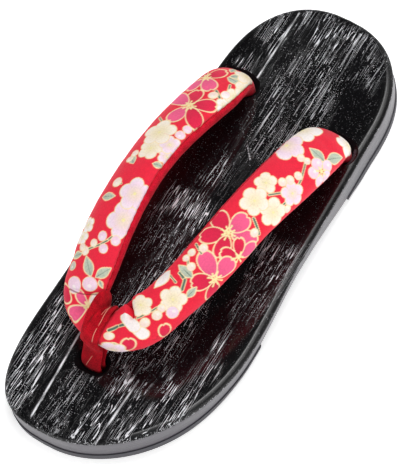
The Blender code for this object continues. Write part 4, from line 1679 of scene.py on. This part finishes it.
@dataclass
class ToeLoop:
    """The velvet loop that holds the strap's bend down to the front hole, with its stitches."""

    form: StrapForm
    width: float = 10.4 * MM
    thickness: float = 2.8 * MM
    lean: float = 1.6 * MM
    hole_reach: float = 81.2 * MM
    tenon: float = 8.5 * MM
    power: float = 2.6
    window: float = 0.6 * MM
    rut: float = 0.10 * MM
    thread: float = 0.17 * MM
    thread_lift: float = 0.02 * MM
    velvet: Velvet = Velvet("velvet_loop", (0.25, 0.001, 0.006, 1.0), (0.58, 0.004, 0.016, 1.0), sheen=0.25)
    lines: int = 24
    stations: int = 220
    around: int = 56
    # across and along as shares, from and to
    sewn: Rows = (
        (-0.80, 0.560, -0.60, 0.440),
        (-0.38, 0.560, -0.28, 0.500),
        (-0.55, 0.435, -0.60, 0.365),
        (-0.20, 0.200, 0.40, 0.085),
    )
    # wrap in degrees, width as a share
    rows: Rows = (
        (-30.0, 1.00),
        (5.0, 0.98),
        (50.0, 0.94),
        (90.0, 0.92),
        (130.0, 0.86),
        (155.0, 0.70),
        (180.0, 0.60),
        (205.0, 0.58),
        (232.0, 0.72),
    )

    def hole(self) -> Array:
        """Return the place of the front hole."""
        return np.array((self.form.pinch_centre()[0] + self.lean, self.hole_reach))

    def line(self, across: float, near: Array) -> Array:
        """Return the loop's middle surface at a share of its half width.

        It comes up from the hole, follows the strap at the strap's own reach in each direction,
        goes down through the crotch, and back under the bend into the hole.

        Args:
            across: the share, from -1 to 1.
            near: points of the strap's surface about the bend.

        Returns:
            Points along the line.
        """
        centre = self.form.pinch_centre()
        wrap, width = np.array(self.rows).T
        wrap = np.radians(wrap)
        offset = across * width * self.width / 2
        spread = near - centre
        ahead = np.outer(spread[:, 1], np.cos(wrap)) + np.outer(spread[:, 2], np.sin(wrap))
        beside = np.abs(spread[:, :1] - offset) <= self.window
        off = np.where(beside, ahead, 0.0).max(axis=0) + SEAT_GAP + self.thickness / 2
        ring = centre + np.stack((offset, off * np.cos(wrap), off * np.sin(wrap)), axis=1)
        x, y = self.hole()
        surface = self.form.plan.surface(x, y)
        x += across * self.width / 2
        leg = self.thickness / 2 + SEAT_GAP
        front = [(x, y + leg, surface - self.tenon), (x, y + leg, surface)]
        rear = [(x, y - leg, surface), (x, y - leg, surface - self.tenon)]
        points = np.concatenate((front, ring, rear))
        knots = run_along(points)
        return smooth(np.linspace(0, knots[-1], self.stations), knots, points)

    def sheet(self) -> Array:
        """Return the middle surface as stations by lines by three, for shares of -1 to 1.

        Returns:
            The points.
        """
        frames = self.form.frames(1200)
        turn = np.linspace(0, FULL_TURN, 96, endpoint=False)
        skin = frames.surface(turn, self.form.power).reshape(-1, 3)
        centre = self.form.pinch_centre()
        x, y = self.form.plan.place(*self.form.crotch)
        near = skin[(np.abs(skin[:, 0] - centre[0]) < self.width) & (skin[:, 1] > y)]
        return np.stack([self.line(across, near) for across in np.linspace(-1, 1, self.lines)], axis=1)

    def read(self, sheet: Array, across: Array) -> tuple[Array, Array]:
        """Read the middle surface and its normal at shares across it, by lines through its columns.

        Args:
            sheet: the middle surface.
            across: shares of half the width, from -1 to 1.

        Returns:
            Points and normals as stations by shares by three.
        """
        at = (np.asarray(across) + 1) / 2 * (self.lines - 1)
        low = np.clip(np.floor(at).astype(int), 0, self.lines - 2)
        share = (at - low)[None, :, None]
        points = sheet[:, low] * (1 - share) + sheet[:, low + 1] * share
        side = unit(sheet[:, low + 1] - sheet[:, low])
        normal = unit(np.cross(np.gradient(points, axis=0), side))
        return points, normal

    def band(self, sheet: Array) -> bpy.types.Object:
        """Build the band: the middle surface, thickened by a superelliptic section, with soft ruts.

        Args:
            sheet: the middle surface.

        Returns:
            The finished piece.
        """
        w, n = superellipse(np.linspace(0, FULL_TURN, self.around, endpoint=False), self.power)
        points, normal = self.read(sheet, w)
        station = np.linspace(0, 1, self.stations)[:, None]
        rut = self.rut * np.sin(5.0 * w[None] + 2.0 * np.sin(9 * station)) * (n[None] > 0)
        thick = n[None] * self.thickness / 2 + rut
        piece = ring_mesh("loop_velvet", points + thick[..., None] * normal, lids=True)
        piece.data.materials.append(self.velvet.material())
        stand_in(piece, "toe_loop")
        return piece

    def stitches(self, sheet: Array) -> bpy.types.Object:
        """Build the visible stitches, each a capsule that lies on the loop's face.

        Each runs from a share across the band and along it to another.

        Args:
            sheet: the middle surface.

        Returns:
            The piece with every stitch.
        """
        rings = []
        turn = np.linspace(0, FULL_TURN, 8, endpoint=False)
        for a0, s0, a1, s1 in self.sewn:
            share = np.linspace(0, 1, 13)
            across = a0 + (a1 - a0) * share
            points, normal = self.read(sheet, across)
            at = np.round((s0 + (s1 - s0) * share) * (self.stations - 1)).astype(int)
            pick = np.arange(len(share))
            facing = normal[at, pick]
            middle = points[at, pick] + facing * (self.thickness / 2 + self.thread_lift)
            radius = self.thread * np.sqrt(np.clip(1 - (2 * share - 1) ** 6, 0.01, 1))
            side = unit(np.cross(facing, unit(np.gradient(middle, axis=0))))
            ring = np.cos(turn)[:, None] * side[:, None] + np.sin(turn)[:, None] * facing[:, None]
            rings.append(middle[:, None] + radius[:, None, None] * ring)
        return tubes("loop_stitches", rings)

    def build(self) -> None:
        """Build the band and its stitches."""
        sheet = self.sheet()
        self.band(sheet)
        thread = self.stitches(sheet)
        thread.data.materials.append(Thread("orange_thread", (0.80, 0.30, 0.22, 1.0)).material())
        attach(thread, "root")
        log.info("loop_stitches: %d faces", len(thread.data.polygons))


def tubes(name: str, rings: Sequence[Array]) -> bpy.types.Object:
    """Make one object of several closed tubes, each given by its rings of points.

    Args:
        name: the new object's name.
        rings: for each tube, points as rings by points by three.

    Returns:
        The object.
    """
    made = [ring_mesh(name, ring, lids=True) for ring in rings]
    work = bmesh.new()
    for piece in made:
        work.from_mesh(piece.data)
        bpy.data.objects.remove(piece, do_unlink=True)
    mesh = bpy.data.meshes.new(name)
    work.to_mesh(mesh)
    work.free()
    mesh.shade_smooth()
    return show(name, mesh)


@dataclass(frozen=True)
class SoftBox:
    """A rectangular studio lamp that shines at a point."""

    name: str
    place: Triple
    aim: Triple
    size: tuple[float, float]
    radiance: float

    def light(self) -> None:
        """Hang the lamp, with the power that gives its face the radiance."""
        lamp = bpy.data.lights.new(self.name, "AREA")
        lamp.shape = "RECTANGLE"
        lamp.size, lamp.size_y = self.size
        lamp.energy = self.radiance * math.pi * self.size[0] * self.size[1]
        thing = show(self.name, lamp)
        turn = (Vector(self.aim) - Vector(self.place)).to_track_quat("-Z", "Y")
        thing.matrix_world = Matrix.Translation(self.place) @ turn.to_matrix().to_4x4()


@dataclass
class Studio:
    """The pale floor, the lamps, the dim room and the camera at the photograph's angle."""

    azimuth: float = -129.46
    elevation: float = 64.0
    roll: float = 20.0
    distance: float = 1.8
    pixels_per_metre: float = 2156.0
    target: Triple = (0.0, 0.0, 0.010)
    target_pixel: tuple[float, float] = (213.1, 237.7)
    image: tuple[int, int] = (400, 464)
    floor_size: float = 12.0
    room: float = 0.05

    def back(self) -> Vector:
        """Return the direction from the shoe to the camera."""
        a, e = math.radians(self.azimuth), math.radians(self.elevation)
        return Vector((math.sin(a) * math.cos(e), -math.cos(a) * math.cos(e), math.sin(e)))

    def camera(self) -> None:
        """Set the camera back along its direction, rolled, with its lens from the picture's scale."""
        data = bpy.data.cameras.new("camera")
        width, height = self.image
        data.sensor_fit = "VERTICAL"
        data.sensor_height = 36.0
        data.lens = data.sensor_height * self.distance * self.pixels_per_metre / height
        data.shift_x = -(self.target_pixel[0] - width / 2) / height
        data.shift_y = (self.target_pixel[1] - height / 2) / height
        data.clip_start, data.clip_end = 0.1, 20.0
        back = self.back()
        right = Vector((math.cos(math.radians(self.azimuth)), math.sin(math.radians(self.azimuth)), 0.0))
        up = back.cross(right)
        c, s = math.cos(math.radians(self.roll)), math.sin(math.radians(self.roll))
        axes = Matrix((right * c - up * s, right * s + up * c, back)).transposed()
        thing = show("camera", data)
        place = Vector(self.target) + back * self.distance
        thing.matrix_world = Matrix.Translation(place) @ axes.to_4x4()
        bpy.context.scene.camera = thing

    def floor(self) -> None:
        """Lay the pale floor."""
        half = self.floor_size / 2
        mesh = bpy.data.meshes.new("floor")
        corners = [(-half, -half, 0), (half, -half, 0), (half, half, 0), (-half, half, 0)]
        mesh.from_pydata(corners, [], [(0, 1, 2, 3)])
        piece = show("floor", mesh)
        nodes = Nodes("pale_floor")
        nodes.set(Base_Color=(0.92, 0.92, 0.92, 1.0), Roughness=0.9, Specular_IOR_Level=0.0)
        nodes.set(Emission_Color=(1.0, 1.0, 1.0, 1.0), Emission_Strength=0.55)
        mesh.materials.append(nodes.material)

    def lamps(self) -> None:
        """Hang the lamps, one over the sole and four broad ones round it, and dim the room."""
        for lamp in (
            SoftBox("lamp_over", (-0.03, -0.27, 0.91), (0, 0, 0), (0.36, 0.62), 8.0),
            SoftBox("lamp_lateral", (-1.5, 0.3, 0.8), (0, 0, 0), (1.2, 1.0), 3.2),
            SoftBox("lamp_toe", (0.1, 1.6, 0.8), (0, 0, 0), (1.2, 0.9), 2.6),
            SoftBox("lamp_medial", (1.5, 0.5, 0.7), (0, 0, 0), (1.0, 0.8), 2.2),
            SoftBox("lamp_heel", (-0.5, -1.6, 0.7), (0, 0, 0), (1.0, 0.8), 2.0),
        ):
            lamp.light()
        world = bpy.data.worlds.new("room")
        world.use_nodes = True
        world.node_tree.nodes["Background"].inputs[0].default_value = (1.0, 1.0, 1.0, 1.0)
        world.node_tree.nodes["Background"].inputs[1].default_value = self.room
        bpy.context.scene.world = world
        bpy.context.scene.view_settings.view_transform = "Standard"

    def build(self) -> None:
        """Set up everything round the sandal."""
        self.camera()
        self.floor()
        self.lamps()


def main() -> None:
    """Build every piece of the sandal and the studio round it."""
    logging.basicConfig(level=logging.INFO, format="%(message)s")
    plan = SolePlan()
    form = StrapForm(plan)
    loop = ToeLoop(form)
    Studio().build()
    form.coarse_frames()
    holes = []
    for place, heading in zip(form.rear, (form.heading[0], form.heading[-1])):
        x, y = plan.place(*place)
        size = (form.hole_width, form.hole_thickness, form.power)
        holes.append(Hole(x, y, plan.surface(x, y), heading, *size))
    x, y = loop.hole()
    slot_width = loop.width + 2 * form.hole_clearance
    slot_thickness = 2 * (loop.thickness + SEAT_GAP + form.hole_clearance)
    holes.append(Hole(x, y, plan.surface(x, y), math.pi / 2, slot_width, slot_thickness, 3.2))
    wood = Footbed(plan, holes).build()
    stand_in(wood, "footbed")
    RubberPad(plan, "heel_rubber", 0.0, plan.heel_pad / plan.length, taper=2.8 * MM).build()
    RubberPad(plan, "forefoot_rubber", 1 - plan.toe_pad / plan.length, 1.0).build()
    strap = Strap(form)
    strap.cover()
    strap.lining()
    loop.build()


if __name__ == "__main__":
    main()
